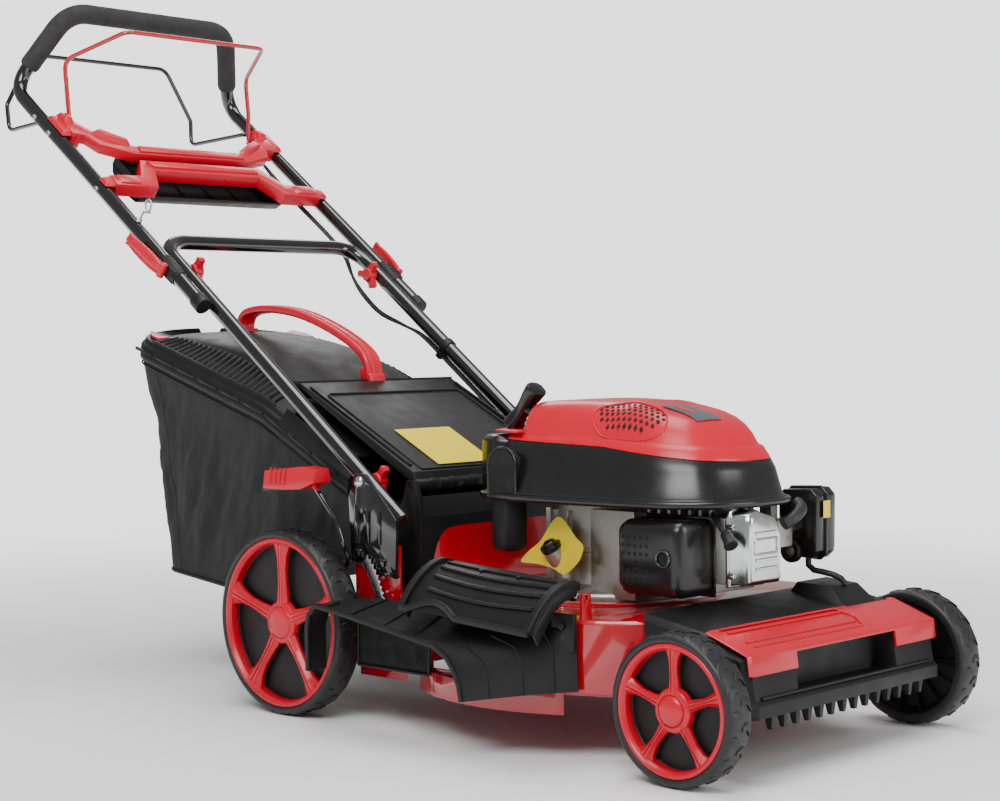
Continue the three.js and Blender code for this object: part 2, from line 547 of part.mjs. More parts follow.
add('side_chute', chute, 'black_plastic');

const doorPlace = new THREE.Matrix4().makeTranslation((DOOR_X0 + DOOR_X1) / 2, DOOR_Y, DOOR_Z)
  .multiply(new THREE.Matrix4().makeRotationY(DOOR_TILT));
const doorHalf = (DOOR_X1 - DOOR_X0) / 2;
const doorOuter = [[-6, 12], [-26, 16], [-52, 6], [-76, -14], [-94, -40]];
const doorInner = [[-94, -46], [-90, -48], [-70, -22], [-48, -3], [-24, 8], [6, 6]];
const door = new THREE.Group();
door.applyMatrix4(doorPlace);
mower.add(door);
const doorPlate = prismX([...doorOuter, ...doorInner], -doorHalf, doorHalf);
const doorRim = cut(prismX([[-4, 18], [-28, 22], [-56, 12], [-82, -10], [-99, -42], [-94, -46], [-76, -20],
  [-52, 0], [-26, 10], [-4, 8]],
  -doorHalf, doorHalf), prismX([[6, 40], [6, 15], [-28, 19], [-54, 9], [-74, -9], [-86, -28], [-120, -20],
    [-60, 60]], 12 - doorHalf, doorHalf - 12));
const barrel = rod([-doorHalf + 1, 0, 0], [doorHalf - 1, 0, 0], 7, 12);
const doorPin = rod([-doorHalf - 6, 0, 0], [doorHalf + 6, 0, 0], 3, 10);
add('side_door', join(doorPlate, doorRim, barrel, doorPin), 'black_plastic', door);

// ---- engine -----------------------------------------------------------------------------
const SEAT = DECK_TOP + GAP;
const CASE_R = 92;
const CASE_TOP = 326;
const CYL_Y = -36;
const fillerTop = V(-352, -118, 262);
const fillerAxis = V(-8, -22, 36).normalize(); // the oil filler leans out to the right
const along = (from, distance) => from.clone().addScaledVector(fillerAxis, distance).toArray();
let crankcase = join(disc(122, SEAT, SEAT + 12, [CRANK_X, 0], 28),
  disc(CASE_R, SEAT + 10, CASE_TOP, [CRANK_X, 0], 28),
  rod(along(fillerTop, -44), along(fillerTop, 0), 15, 14),
  box(CRANK_X + 40, CRANK_X + 120, CYL_Y - 58, CYL_Y + 58, SEAT + 6, CASE_TOP - 6));
for (let i = 0; i < 4; i += 1) {
  const turn = Math.PI / 4 + (Math.PI / 2) * i;
  crankcase = join(crankcase, disc(8, SEAT + 11, SEAT + 20,
    [CRANK_X + 106 * Math.cos(turn), 106 * Math.sin(turn)], 6));
}
const SHAFT_R = 12;
crankcase = cut(crankcase, disc(SHAFT_R + RUNNING, SEAT - 5, CASE_TOP + 5, [CRANK_X, 0], 20),
  rod(along(fillerTop, -22), along(fillerTop, 5), 9, 12));
add('crankcase', crankcase, 'aluminium');
const capAt = fillerTop.clone().addScaledVector(fillerAxis, GAP + 0.2);
add('oil_cap', join(rod(along(capAt, 0), along(capAt, 12), 16, 12, 14),
  rod(along(capAt, -16), along(capAt, 2), 6, 8)), 'black_plastic');

const CYL_X0 = CRANK_X + 120 + GAP;
const CYL_X1 = -76;
let cylinder = box(CYL_X0, CYL_X1, CYL_Y - 40, CYL_Y + 40, 228, 318);
for (let i = 0; i < 7; i += 1) {
  const x = CYL_X0 + 8 + 18 * i;
  cylinder = join(cylinder, box(x, x + 5, CYL_Y - 40, CYL_Y + 56, 214, 330));
}
add('cylinder', cylinder, 'aluminium');
const coverFace = prismX([[CYL_Y - 38, 226], [CYL_Y + 38, 226], [CYL_Y + 38, 296], [CYL_Y + 24, 322],
  [CYL_Y - 18, 330], [CYL_Y - 38, 318]],
  CYL_X1 + GAP, CYL_X1 + 38, { height: 8, inset: 6 });
add('valve_cover', cut(coverFace, box(CYL_X1 - 20, CYL_X1 + 9, CYL_Y - 80, CYL_Y + 80, 200, 240)
  .subtract(box(CYL_X1 - 30, CYL_X1 + 9, CYL_Y - 36, CYL_Y + 36, 190, 250))), 'steel');

const MUFFLER_X0 = -205;
const MUFFLER_X1 = -96;
const muffler = prismY([[MUFFLER_X0, 218], [MUFFLER_X1, 218], [MUFFLER_X1, 311], [MUFFLER_X0, 311]], -150,
  CYL_Y - 40 - GAP, { height: 12, inset: 10 });
add('muffler_guard', cut(muffler, pin(-126, 264, 12, -160, -130, 14)), 'black_paint');

add('carburettor', cut(join(box(-122, -76, CYL_Y + 57, 78, 268, 306),
  pin(-100, 292, 14, CYL_Y + 60, 101 - GAP, 14),
  box(-112, -92, 50, 66, 250, 326)), cylinder), 'aluminium');
const FILTER_Y = 101;
const filterBox = prismY([[-118, 262], [-104, 248], [-60, 246], [-50, 256], [-48, 340], [-58, 350],
  [-110, 348], [-118, 338]],
  FILTER_Y, FILTER_Y + 50, { height: 5, inset: 4 });
const BULB = [-92, 258];
const bulbSeat = pin(...BULB, 15, FILTER_Y - 8, FILTER_Y + 4, 16);
add('air_filter_box', cut(join(filterBox, bulbSeat), pin(...BULB, 11, FILTER_Y - 9, FILTER_Y + 8, 16)),
  'black_plastic');
add('primer_bulb', join(pin(...BULB, 10, FILTER_Y - 12, FILTER_Y, 16),
  ball(BULB[0], FILTER_Y - 12, BULB[1], 10, 16)), 'rubber');

// Cowl: one sloping envelope, split by a slanting line into the black base and the red top.
const cowlPlan = [[-500, -70], [-474, -128], [-410, -155], [-150, -155], [-62, -118], [-27, -58],
  [-27, 46], [-62, 84], [-124, 97],
  [-190, 150], [-410, 155], [-474, 128], [-500, 70]];
const COWL_LOW = 335;
const COWL_TOP = 474;
function cowlForm(shrink) {
  const plan = cowlPlan.map(([x, y]) => [x - Math.sign(x + 260) * shrink, y - Math.sign(y) * shrink]);
  const rise = COWL_TOP - shrink - COWL_LOW;
  const form = prismZ(plan, COWL_LOW - rise, COWL_TOP - shrink, { height: rise - 6, inset: 56 });
  const slope = prismY([[-232, COWL_TOP - shrink], [-60, 414 - shrink], [0, 386 - shrink], [0, 520],
    [-232, 520]], -200, 200);
  return cut(form, slope, box(-600, 100, -300, 300, 0, shrink ? COWL_LOW - 60 : COWL_LOW));
}
const split = (lift) => prismY([[-520, 420 + lift], [-250, 411 + lift], [0, 384 + lift], [0, 560],
  [-520, 560]], -220, 220);
const notch = join(box(-520, -398, -112, -40, 414, 500), box(-400, -386, -86, -66, 430, 462));
const NECK = [-330, 176];
const cowlShell = cut(cowlForm(0), cowlForm(4));
const rearBox = box(-487, -430, -150, -100, 330, 416);
const cowlBase = cut(join(cut(cowlShell, split(-GAP / 2)),
  cut(rearBox, cowlForm(4)).subtract(split(-GAP / 2))), notch);
add('cowl_base', cowlBase, 'black_plastic');
add('cowl_top', cut(cowlShell.intersect(split(GAP / 2)), notch), 'red_plastic');

const tank = join(prismZ([[-470, 100], [-450, 186], [-250, 198], [-238, 104]], 240, COWL_LOW - 3,
  { height: 8, inset: 6 }),
  disc(18, 300, 352, NECK, 16));
const tankBody = cut(tank, disc(CASE_R + 4, 200, 400, [CRANK_X, 0], 28), disc(14, 320, 360, NECK, 14));
add('fuel_tank', tankBody, 'black_plastic');
add('fuel_cap', cut(disc(24, 344, 366, NECK, 18), disc(18.5, 330, 352 + GAP, NECK, 16)), 'black_plastic');

const HOSE_R = 4.5;
const hosePoints = [[-84, 128, 245.5], [-84, 128, 236], [-76, 130, 229], [-62, 133, 227], [-48, 137, 224],
  [-38, 141, 219], [-34, 144, 213],
  [-34, 144, 210.5]];
add('vent_hose', sweep(hosePoints.map((p) => V(...p)), HOSE_R, 10), 'rubber');

// Starter grip: a bar with a neck that seats in the cowl's notch.
const GRIP_Y = -76;
const grip = join(rod([-432, GRIP_Y, 484], [-457, GRIP_Y, 424], 10, 12),
  rod([-440, GRIP_Y, 452], [-402, GRIP_Y, 446], 7, 10),
  hull([-444, GRIP_Y - 9, 478], [-444, GRIP_Y + 9, 478], [-436, GRIP_Y - 9, 484], [-436, GRIP_Y + 9, 484],
    [-448, GRIP_Y - 28, 432], [-448, GRIP_Y + 28, 432], [-440, GRIP_Y - 28, 428], [-440, GRIP_Y + 28, 428],
      [-452, GRIP_Y, 430]));
add('starter_grip', grip, 'black_plastic');

// Engine shaft, flywheel and blade turn together.
const shaft = join(disc(SHAFT_R, BLADE_Z - 8, 404, [CRANK_X, 0], 20),
  disc(32, BLADE_Z + 5 + GAP, BLADE_Z + 22, [CRANK_X, 0], 24),
  disc(17, BLADE_Z - 10, BLADE_Z - GAP, [CRANK_X, 0], 6));
add('crankshaft', shaft, 'steel');
add('flywheel', cut(join(disc(92, 344, 366, [CRANK_X, 0], 32), disc(26, 340, 384, [CRANK_X, 0], 20)),
  disc(SHAFT_R + GAP, 300, 420, [CRANK_X, 0], 20)), 'aluminium');
let blade = box(CRANK_X - BLADE_R, CRANK_X + BLADE_R, -27, 27, BLADE_Z, BLADE_Z + 5);
for (const side of [-1, 1]) {
  const tip = CRANK_X + side * BLADE_R;
  blade = join(blade, hull([tip, side * -27, BLADE_Z + 1], [tip, side * -27, BLADE_Z + 4],
    [tip - side * 90, side * -27, BLADE_Z + 1],
    [tip - side * 90, side * -27, BLADE_Z + 4], [tip, side * -10, BLADE_Z + 2],
      [tip - side * 90, side * -10, BLADE_Z + 2],
    [tip, side * -34, BLADE_Z + 18], [tip, side * -36, BLADE_Z + 18],
      [tip - side * 90, side * -34, BLADE_Z + 18],
    [tip - side * 90, side * -36, BLADE_Z + 18]));
}
const bladeSweep = disc(BLADE_R, 40, 160, [CRANK_X, 0], 60);
add('blade', cut(blade.intersect(bladeSweep), disc(SHAFT_R + GAP, 60, 100, [CRANK_X, 0], 20)), 'steel');

// ---- grass bag ------------------------------------------------------------------------------
const rimLow = (x) => (x < -905
  ? 437 + ((-905 - x) * (546 - 437)) / 350
  : 330 + ((-696 - x) * (437 - 330)) / 209);
const RIM = 20;
const LID_REAR = -1256;
const bagProfile = (s) => [[-1179 + s, 183 + s], [-968 + s / 2, 160 + s], [-892, 228 + s],
  [BAG_FRONT_X - 0.2, 228 + s],
  [BAG_FRONT_X - 0.2, rimLow(BAG_FRONT_X)], [-905, rimLow(-905)], [LID_REAR + 8 + s, rimLow(LID_REAR + 8)]];
const bagOuter = prismY(bagProfile(0), -BAG_HALF, BAG_HALF);
const bagInner = join(prismY(bagProfile(BAG_WALL), BAG_WALL - BAG_HALF, BAG_HALF - BAG_WALL),
  prismY([[BAG_FRONT_X + 20, 236], [BAG_FRONT_X + 20, 330], [BAG_FRONT_X - 30, 330],
    [BAG_FRONT_X - 30, 236]],
    -TUNNEL_OUT + 6, TUNNEL_OUT - 6),
  prismY([[-700, 322], [-905, rimLow(-905) - 6], [LID_REAR + 16, rimLow(LID_REAR + 16) - 6],
    [LID_REAR + 16, 620], [-700, 620]],
    BAG_WALL - BAG_HALF, BAG_HALF - BAG_WALL));
add('bag_body', cut(bagOuter, bagInner), 'fabric');

// Lid: a crowned shell over a rim that follows the bag's top edge, with a low seat for the flap.
const belowRim = (lift) => prismY([[BAG_FRONT_X + 40, rimLow(BAG_FRONT_X) + lift - 20],
  [-905, rimLow(-905) + lift], [-1340, rimLow(-1340) + lift],
  [-1340, 0], [BAG_FRONT_X + 40, 0]], -260, 260);
const CROWN_HALF = 112;
function lidForm(s) {
  const front = BAG_FRONT_X - s;
  const crown = [[front, 414], [-878, 502], [-962, 543], [-1060, 569], [-1180, 584], [-1262, 580],
    [-1288, 562], [-1288, 440]];
  const side = [[front, 352], [-905, 459], [LID_REAR + 22, 567], [LID_REAR + 8, 440]];
  const points = [];
  for (const y of [-1, 1]) {
    for (const [x, z] of crown) points.push([x + (x < -1250 ? s : 0), y * CROWN_HALF, z - s]);
    for (const [x, z] of side) points.push([x + (x < -1220 ? s : 0), y * (LID_HALF - s), z - s]);
    points.push([front, y * (LID_HALF - s), 250]);
  }
  return hull(...points);
}
const flapSeat = (drop) => prismY([[BAG_FRONT_X + 10, 388 - drop], [FLAP_END[0] - 2, 470 - drop],
  [FLAP_END[0] - 4 - drop, 471 - drop], [FLAP_END[0] - 5 - drop, 560],
  [BAG_FRONT_X + 10, 560]], -FLAP_HALF - 4 - drop, FLAP_HALF + 4 + drop);
const lidOuter = cut(lidForm(0), flapSeat(0));
const lidShell = cut(lidOuter, cut(lidForm(5), flapSeat(5)), belowRim(GAP + 0.2));
const rimPlan = (s) => [[BAG_FRONT_X - 0.2, s - LID_HALF], [LID_REAR + 22 + s / 2, s - LID_HALF],
  [LID_REAR - 8 + s, s - LID_HALF + 34],
  [LID_REAR - 26 + s, -90], [LID_REAR - 32 + s, 0], [LID_REAR - 26 + s, 90],
    [LID_REAR - 8 + s, LID_HALF - 34 - s],
  [LID_REAR + 22 + s / 2, LID_HALF - s], [BAG_FRONT_X - 0.2, LID_HALF - s]];
const rimInner = prismZ(rimPlan(9).map(([x, y], i) => [i === 0 || i === 8 ? x - 9 : x, y]), 290, 650);
const rimBand = cut(prismZ(rimPlan(0), 300, 640), rimInner, belowRim(GAP + 0.2)).intersect(belowRim(RIM));
add('bag_lid', join(cut(lidShell, cut(box(-1400, -1200, -260, 260, 200, 700),
  prismZ(rimPlan(0), 200, 700))), rimBand), 'black_plastic');

const archTop = [[-1190, 560], [-1190, 600], [-1174, 618], [-1120, 622], [-1040, 612], [-960, 588],
  [-890, 556], [-854, 534], [-851, 480]];
const archUnder = [[-875, 480], [-882, 530], [-960, 570], [-1040, 594], [-1120, 604], [-1160, 600],
  [-1166, 560]];
const handleArch = prismY([...archTop, ...archUnder], -15, 15, { height: 4, inset: 3 });
add('bag_handle', cut(handleArch, lidForm(-GAP)), 'red_plastic');

// ---- handle (in its own sloping frame: x = -distance along the tubes) ---------------------
const UPPER_HALF = LOWER_HALF + 2 * TUBE_R + GAP;
const boltHole = (along, from, to) => pin(-along, 0, BOLT_R + GAP, from, to, 10);
const lowerPoints = rounded([[92, -LOWER_HALF, 0], [-LOWER_TOP, -LOWER_HALF, 0],
  [-LOWER_TOP, LOWER_HALF, 0], [92, LOWER_HALF, 0]], [55, 55], 5);
let lowerHandle = sweep(lowerPoints, TUBE_R, 8, TUBE_R - TUBE_WALL);
lowerHandle = cut(lowerHandle, boltHole(0, -260, 260), boltHole(FOLD_AT, -260, 260));
add('lower_handle', lowerHandle, 'black_paint', handle);

const upperCorners = [[-UPPER_START, -UPPER_HALF, 0], [-UPPER_BEND, -UPPER_HALF, 0],
  [-GRIP_AT, -176, GRIP_RISE],
  [-GRIP_AT, 176, GRIP_RISE], [-UPPER_BEND, UPPER_HALF, 0], [-UPPER_START, UPPER_HALF, 0]];
const upperPoints = rounded(upperCorners, [48, 62, 62, 48], 5);
let upperHandle = sweep(upperPoints, TUBE_R, 8, TUBE_R - TUBE_WALL);
const DRIVE_AT = 1019;
upperHandle = cut(upperHandle, boltHole(FOLD_AT, -280, 280), pin(-DRIVE_AT, 0, 5, -280, 280, 10));
add('upper_handle', upperHandle, 'black_paint', handle);
// The foam covers the bend from just above the lower curve to the same place on the other side.
const foamStart = 7;
const foamPoints = upperPoints.slice(foamStart, upperPoints.length - foamStart);
const foamEnd = foamPoints[0].clone().lerp(upperPoints[foamStart - 1], 0.2);
foamPoints[0] = foamEnd;
foamPoints[foamPoints.length - 1] = V(foamEnd.x, -foamEnd.y, foamEnd.z);
add('foam_grip', cut(sweep(foamPoints, FOAM_R, 12), sweep(upperPoints, TUBE_R + GAP, 8)), 'foam', handle);

// Console: two red bars with a black tray between them.
const CON_Y = UPPER_HALF - TUBE_R - 1;
const sym = (half) => [...half, ...half.slice().reverse().map(([x, y]) => [x, -y])];
const topBar = prismZ(sym([[-990, CON_Y], [-936, CON_Y], [-930, 200], [-902, 186], [-880, 126]]), 2, 22);
const topCut = prismZ([[-1100, -206], [-976, -206], [-956, -186], [-906, -120], [-906, 120], [-956, 186],
  [-976, 206], [-1100, 206]], -40, 60);
const BRAKE_AT = 984;
const conEnds = SIDES.map(([, side]) => join(
  box(-1000, -930, ...[side * 208, side * CON_Y].sort((a, b) => a - b), -8, 20),
  box(-996, -936, ...[side * (CON_Y - 4), side * (UPPER_HALF + 6)].sort((a, b) => a - b),
    TUBE_R + GAP + 0.4, 20)));
const brakeHole = pin(-BRAKE_AT, 4, 5, -280, 280, 10);
add('console_top', cut(join(cut(topBar, topCut), ...conEnds), brakeHole), 'red_plastic', handle);
const lowBar = prismZ([[-772, -CON_Y], [-772, -142], [-826, -118], [-826, 118], [-772, 142], [-772, CON_Y],
  [-802, CON_Y], [-806, 160],
  [-858, 132], [-858, -132], [-806, -160], [-802, -CON_Y]], -2, 22);
const lowEnds = SIDES.map(([, side]) => box(-802, -774,
  ...[side * (CON_Y - 4), side * (UPPER_HALF + 6)].sort((a, b) => a - b), TUBE_R + GAP + 0.4, 20));
add('console_bottom', join(lowBar, ...lowEnds), 'red_plastic', handle);
const tray = cut(prismY([[-904, 1.6], [-902, -22], [-860, -38], [-800, -34], [-780, -6], [-790, -6],
  [-806, -28], [-858, -32], [-896, -18], [-898, 1.6]],
  -150, 150), box(-1000, -700, -300, 300, 1.7, 40));
const trayEnds = SIDES.map(([, side]) => prismY([[-904, 1.6], [-902, -22], [-860, -38], [-800, -34],
  [-780, -6], [-862, -2.4]],
  ...[side * 146, side * 150].sort((a, b) => a - b)));
add('console_tray', cut(join(tray, ...trayEnds),
  prismZ([[-770, -300], [-870, -300], [-870, 300], [-770, 300]], -2.3, 40)), 'black_plastic', handle);

// Bails: bent rods that hinge in the console's ends and in the tubes.
const WIRE_R = 4;
const bail = (half) => [...half, ...half.slice().reverse().map(([x, y, z]) => [x, -y, z])];
const brakeBail = sweep(rounded(bail([[-BRAKE_AT, -222, 4], [-BRAKE_AT, -200, 4], [-1016, -203, 44],
  [-1063, -203, 94], [-995, -152, 197]]),
  [7, 20, 24, 22, 22, 24, 20, 7], 3), WIRE_R, 6);
add('brake_bail', brakeBail, 'red_paint', handle);
const driveBail = sweep(rounded(bail([[-DRIVE_AT, 1 - UPPER_HALF, 0], [-DRIVE_AT, -212, 0],
  [-1139, -206, -100], [-1170, -208, -64], [-1233, -152, 11]]),
  [7, 16, 12, 30, 30, 12, 16, 7], 3), WIRE_R, 6);
add('drive_bail', driveBail, 'black_paint', handle);

// Fold hardware: a through bolt with a wing knob inside and a cam lever outside.
function wing(x, side, inner) {
  const tips = [0, 1, 2].map((i) => rad(90 + 120 * i));
  const outline = tips.flatMap((a) => [[x + 24 * Math.cos(a - 0.26), 24 * Math.sin(a - 0.26)],
    [x + 24 * Math.cos(a + 0.26), 24 * Math.sin(a + 0.26)],
    [x + 12 * Math.cos(a + Math.PI / 3), 12 * Math.sin(a + Math.PI / 3)]]);
  const [y0, y1] = [side * (inner - 16), side * (inner - GAP)].sort((a, b) => a - b);
  return join(prismY(outline, y0, y1), pin(x, 0, 11, side * (inner - 20), side * (inner - GAP - 0.1), 14));
}
const tubeInner = LOWER_HALF - TUBE_R;
const bracketOuter = BRACKET_IN + BRACKET_THICK;
for (const [name, side] of SIDES) {
  add(`wing_knob_lower_${name}`, join(wing(0, side, tubeInner),
    pin(0, 0, BOLT_R, side * (tubeInner - 14), side * (bracketOuter + 3), 10),
    pin(0, 0, 8, side * (bracketOuter + GAP), side * (bracketOuter + 5), 12)), 'red_plastic', handle);
  const seat = UPPER_HALF + TUBE_R;
  add(`wing_knob_upper_${name}`, join(wing(-FOLD_AT, side, tubeInner),
    pin(-FOLD_AT, 0, BOLT_R, side * (tubeInner - 14), side * (seat + 9), 10),
    pin(-FOLD_AT, 0, 12, side * (seat + GAP), side * (seat + 1), 14)), 'red_plastic', handle);
  const y = (v) => side * (seat + v);
  const cheeks = [-1, 1].map((up) => prismZ([[6 - FOLD_AT, y(4)], [7 - FOLD_AT, y(12)],
    [-FOLD_AT - 30, y(20)], [-FOLD_AT - 30, y(5)]], ...[up * 5, up * 11].sort((a, b) => a - b)));
  const grasp = hull([-FOLD_AT - 22, y(5), -11], [-FOLD_AT - 22, y(5), 11], [-FOLD_AT - 22, y(20), -11],
    [-FOLD_AT - 22, y(20), 11],
    [-FOLD_AT - 70, y(9), -12], [-FOLD_AT - 70, y(9), 12], [-FOLD_AT - 96, y(20), -10],
      [-FOLD_AT - 96, y(20), 10],
    [-FOLD_AT - 70, y(24), -12], [-FOLD_AT - 70, y(24), 12]);
  add(`cam_lever_${name}`, join(...cheeks, grasp), 'red_plastic', handle);
}

// Pigtail guide for the starter rope on the right tube.
const guideAt = 672;
const coil = [[-guideAt, -UPPER_HALF + 2, TUBE_R + 4], [-guideAt, -UPPER_HALF + 2, TUBE_R + 18]];
for (let i = 0; i <= 10; i += 1) {
  const turn = rad(-90 + 36 * i);
  coil.push([-guideAt + 11 * Math.cos(turn), -UPPER_HALF + 2 + 0.9 * i, TUBE_R + 31 + 11 * Math.sin(turn)]);
}
const guideFoot = rod([-guideAt, -UPPER_HALF, TUBE_R + 0.5], [-guideAt, -UPPER_HALF, TUBE_R + 6], 6, 6);
add('rope_guide', join(sweep(coil.map((p) => V(...p)), 1.8, 6), guideFoot), 'steel', handle);

// ---- cables clipped along the left tube ------------------------------------------------------
const CABLE_R = 2.6;
const onTube = ([x, y, z]) => V(BOLT_X + x * Math.cos(SLOPE) + z * Math.sin(SLOPE), y,
  BOLT_Z - x * Math.sin(SLOPE) + z * Math.cos(SLOPE));
const brakeCable = [
  ...[[-930, 212, -14], [-880, 211, -18], [-800, 210, -19], [-700, 210, -18], [-640, 209, -22],
    [-600, 205, -34], [-560, 204, -42],
    [-500, 204, -44], [-440, 206, -30], [-386, 208, -18.5], [-300, 208, -18], [-200, 208, -18],
      [-120, 208, -18], [-80, 208, -18],
    [-40, 207, -22]].map(onTube),
  ...[[-664, 206, 334], [-650, 204, 306], [-638, 202, 278], [-622, 200, 257], [-600, 198, 248],
    [-575, 192, 254], [-549, 177, 272],
    [-525, 157, 295], [-504, 140, 318], [-491, 131, 331.5]].map((p) => V(...p))];
const driveCable = [
  ...[[-940, 220, -18], [-880, 218, -19], [-800, 217, -19], [-700, 217, -19], [-640, 216, -24],
    [-600, 213, -42], [-560, 212, -52],
    [-500, 212, -52], [-440, 214, -34], [-386, 216, -19], [-300, 216, -18.5], [-200, 216, -18.5],
      [-120, 216, -18.5], [-80, 215, -19],
    [-40, 214, -24]].map(onTube),
  ...[[-666, 212, 332], [-653, 210, 304], [-642, 207, 276], [-632, 203, 248], [-622, 199, 220],
    [-616, 197, 204], [-614, 196, 192]]
    .map((p) => V(...p))];
add('brake_cable', sweep(brakeCable, CABLE_R, 8), 'rubber');
add('drive_cable', sweep(driveCable, CABLE_R, 8), 'rubber');

// ---- origin at the middle of the base -------------------------------------------------------
const chassis = new THREE.Group();
mower.add(handle);
chassis.add(mower);
chassis.updateMatrixWorld(true);
const bounds = new THREE.Box3().setFromObject(chassis, true);
const centre = bounds.getCenter(V());
mower.position.set(-centre.x, -centre.y, -bounds.min.z);
chassis.updateMatrixWorld(true);

export default chassis;
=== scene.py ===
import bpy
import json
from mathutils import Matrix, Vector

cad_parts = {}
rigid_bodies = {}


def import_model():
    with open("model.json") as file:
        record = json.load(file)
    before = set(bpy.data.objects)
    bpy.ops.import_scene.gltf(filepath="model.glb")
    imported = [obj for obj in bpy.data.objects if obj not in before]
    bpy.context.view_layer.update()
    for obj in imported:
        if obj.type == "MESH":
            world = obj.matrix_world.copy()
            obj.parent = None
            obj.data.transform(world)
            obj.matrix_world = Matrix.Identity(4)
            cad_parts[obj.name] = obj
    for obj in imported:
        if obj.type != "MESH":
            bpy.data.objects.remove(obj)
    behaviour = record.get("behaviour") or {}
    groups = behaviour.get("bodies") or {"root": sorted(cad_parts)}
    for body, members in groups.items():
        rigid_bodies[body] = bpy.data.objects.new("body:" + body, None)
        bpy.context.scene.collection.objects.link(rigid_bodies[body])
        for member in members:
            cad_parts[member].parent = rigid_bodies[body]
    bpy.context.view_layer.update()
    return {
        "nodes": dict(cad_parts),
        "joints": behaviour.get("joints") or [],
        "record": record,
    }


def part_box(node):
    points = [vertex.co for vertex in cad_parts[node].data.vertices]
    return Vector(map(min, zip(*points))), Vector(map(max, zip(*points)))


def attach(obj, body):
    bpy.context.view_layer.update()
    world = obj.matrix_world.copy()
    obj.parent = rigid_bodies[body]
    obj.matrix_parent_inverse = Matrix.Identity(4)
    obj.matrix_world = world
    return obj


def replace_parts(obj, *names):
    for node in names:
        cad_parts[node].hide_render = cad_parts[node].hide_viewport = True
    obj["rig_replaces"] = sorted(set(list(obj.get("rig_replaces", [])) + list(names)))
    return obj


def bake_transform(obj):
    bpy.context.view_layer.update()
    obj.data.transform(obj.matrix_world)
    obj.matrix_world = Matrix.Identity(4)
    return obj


bl_info = {
    "name": "Push mower looks",
    "version": (1, 0, 0),
    "blender": (4, 5, 0),
    "location": "View3D > Sidebar > Mower",
    "description": "Builds the finished surfaces of a petrol push mower around its fixed frame",
    "category": "Object",
}

import json
import math

import bmesh
import bpy
from mathutils import Matrix, Vector, noise
from mathutils.bvhtree import BVHTree

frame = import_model()

# ---- where things are ---------------------------------------------------------------------------
# Lengths are millimetres from the front axle, the mid plane and the ground, and at() turns them
# into the frame's metres. Points on the folding handle are given along and above its tubes.
MM = 0.001
SIDES = (("right", -1), ("left", 1))


def middle(node):
    low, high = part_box(node)
    return (low + high) / 2


AXLE = (middle("wheel_front_right") + middle("wheel_front_left")) / 2
JOINTS = {joint["name"]: joint for joint in frame["joints"]}
BOLT = Vector(JOINTS["lower_fold"]["pos_m"])
FOLD = Vector(JOINTS["upper_fold"]["pos_m"])
ALONG = (FOLD - BOLT).normalized()
ABOVE = Vector((ALONG.z, 0, -ALONG.x))


def at(x, y, z):
    return Vector((AXLE.x + x * MM, AXLE.y + y * MM, z * MM))


def on_handle(along, y, above):
    point = BOLT + ALONG * (along * MM) + ABOVE * (above * MM)
    return Vector((point.x, AXLE.y + y * MM, point.z))


def bare(x, y, z):
    return Vector((x, y, z)) * MM


# ---- sizes and colours a user may change -------------------------------------------------------
def colour(name, text, value):
    return bpy.props.FloatVectorProperty(
        name=name, description=text, default=value, size=3, min=0, max=1, subtype="COLOR")


def length(name, text, value):
    return bpy.props.FloatProperty(
        name=name, description=text, default=value, min=0, subtype="DISTANCE", unit="LENGTH")


class MowerColours(bpy.types.PropertyGroup):
    red_paint: colour("Deck enamel", "Gloss enamel of the steel deck", (0.44, 0.0005, 0.010))
    red_plastic: colour("Red plastic", "Moulded covers, levers and knobs", (0.50, 0.0005, 0.016))
    black_plastic: colour("Black plastic", "Moulded housings", (0.0055, 0.0055, 0.006))
    black_paint: colour("Tube paint", "Gloss black on tubes and brackets", (0.003, 0.003, 0.0034))
    rubber: colour("Tyre", "Tyres and hoses", (0.008, 0.008, 0.0085))
    cloth: colour("Bag cloth", "Woven mesh of the grass bag", (0.0026, 0.0026, 0.003))
    panel: colour("Panel", "Plain yellow panel on the flap", (0.72, 0.56, 0.0))


class MowerSizes(bpy.types.PropertyGroup):
    weave: length("Weave pitch", "Distance between threads of the bag cloth", 1.5 * MM)
    fold: length("Cloth folds", "Depth of the folds in the bag cloth", 6.0 * MM)
    lugs: bpy.props.IntProperty(name="Tread lugs", description="Lugs on each side of a rear tyre",
                                default=24, min=8, max=40)
    slats: bpy.props.IntProperty(name="Lid slats", description="Vent slats on each side of the bag lid",
                                 default=24, min=8, max=40)


def sizes():
    return bpy.context.scene.mower_sizes


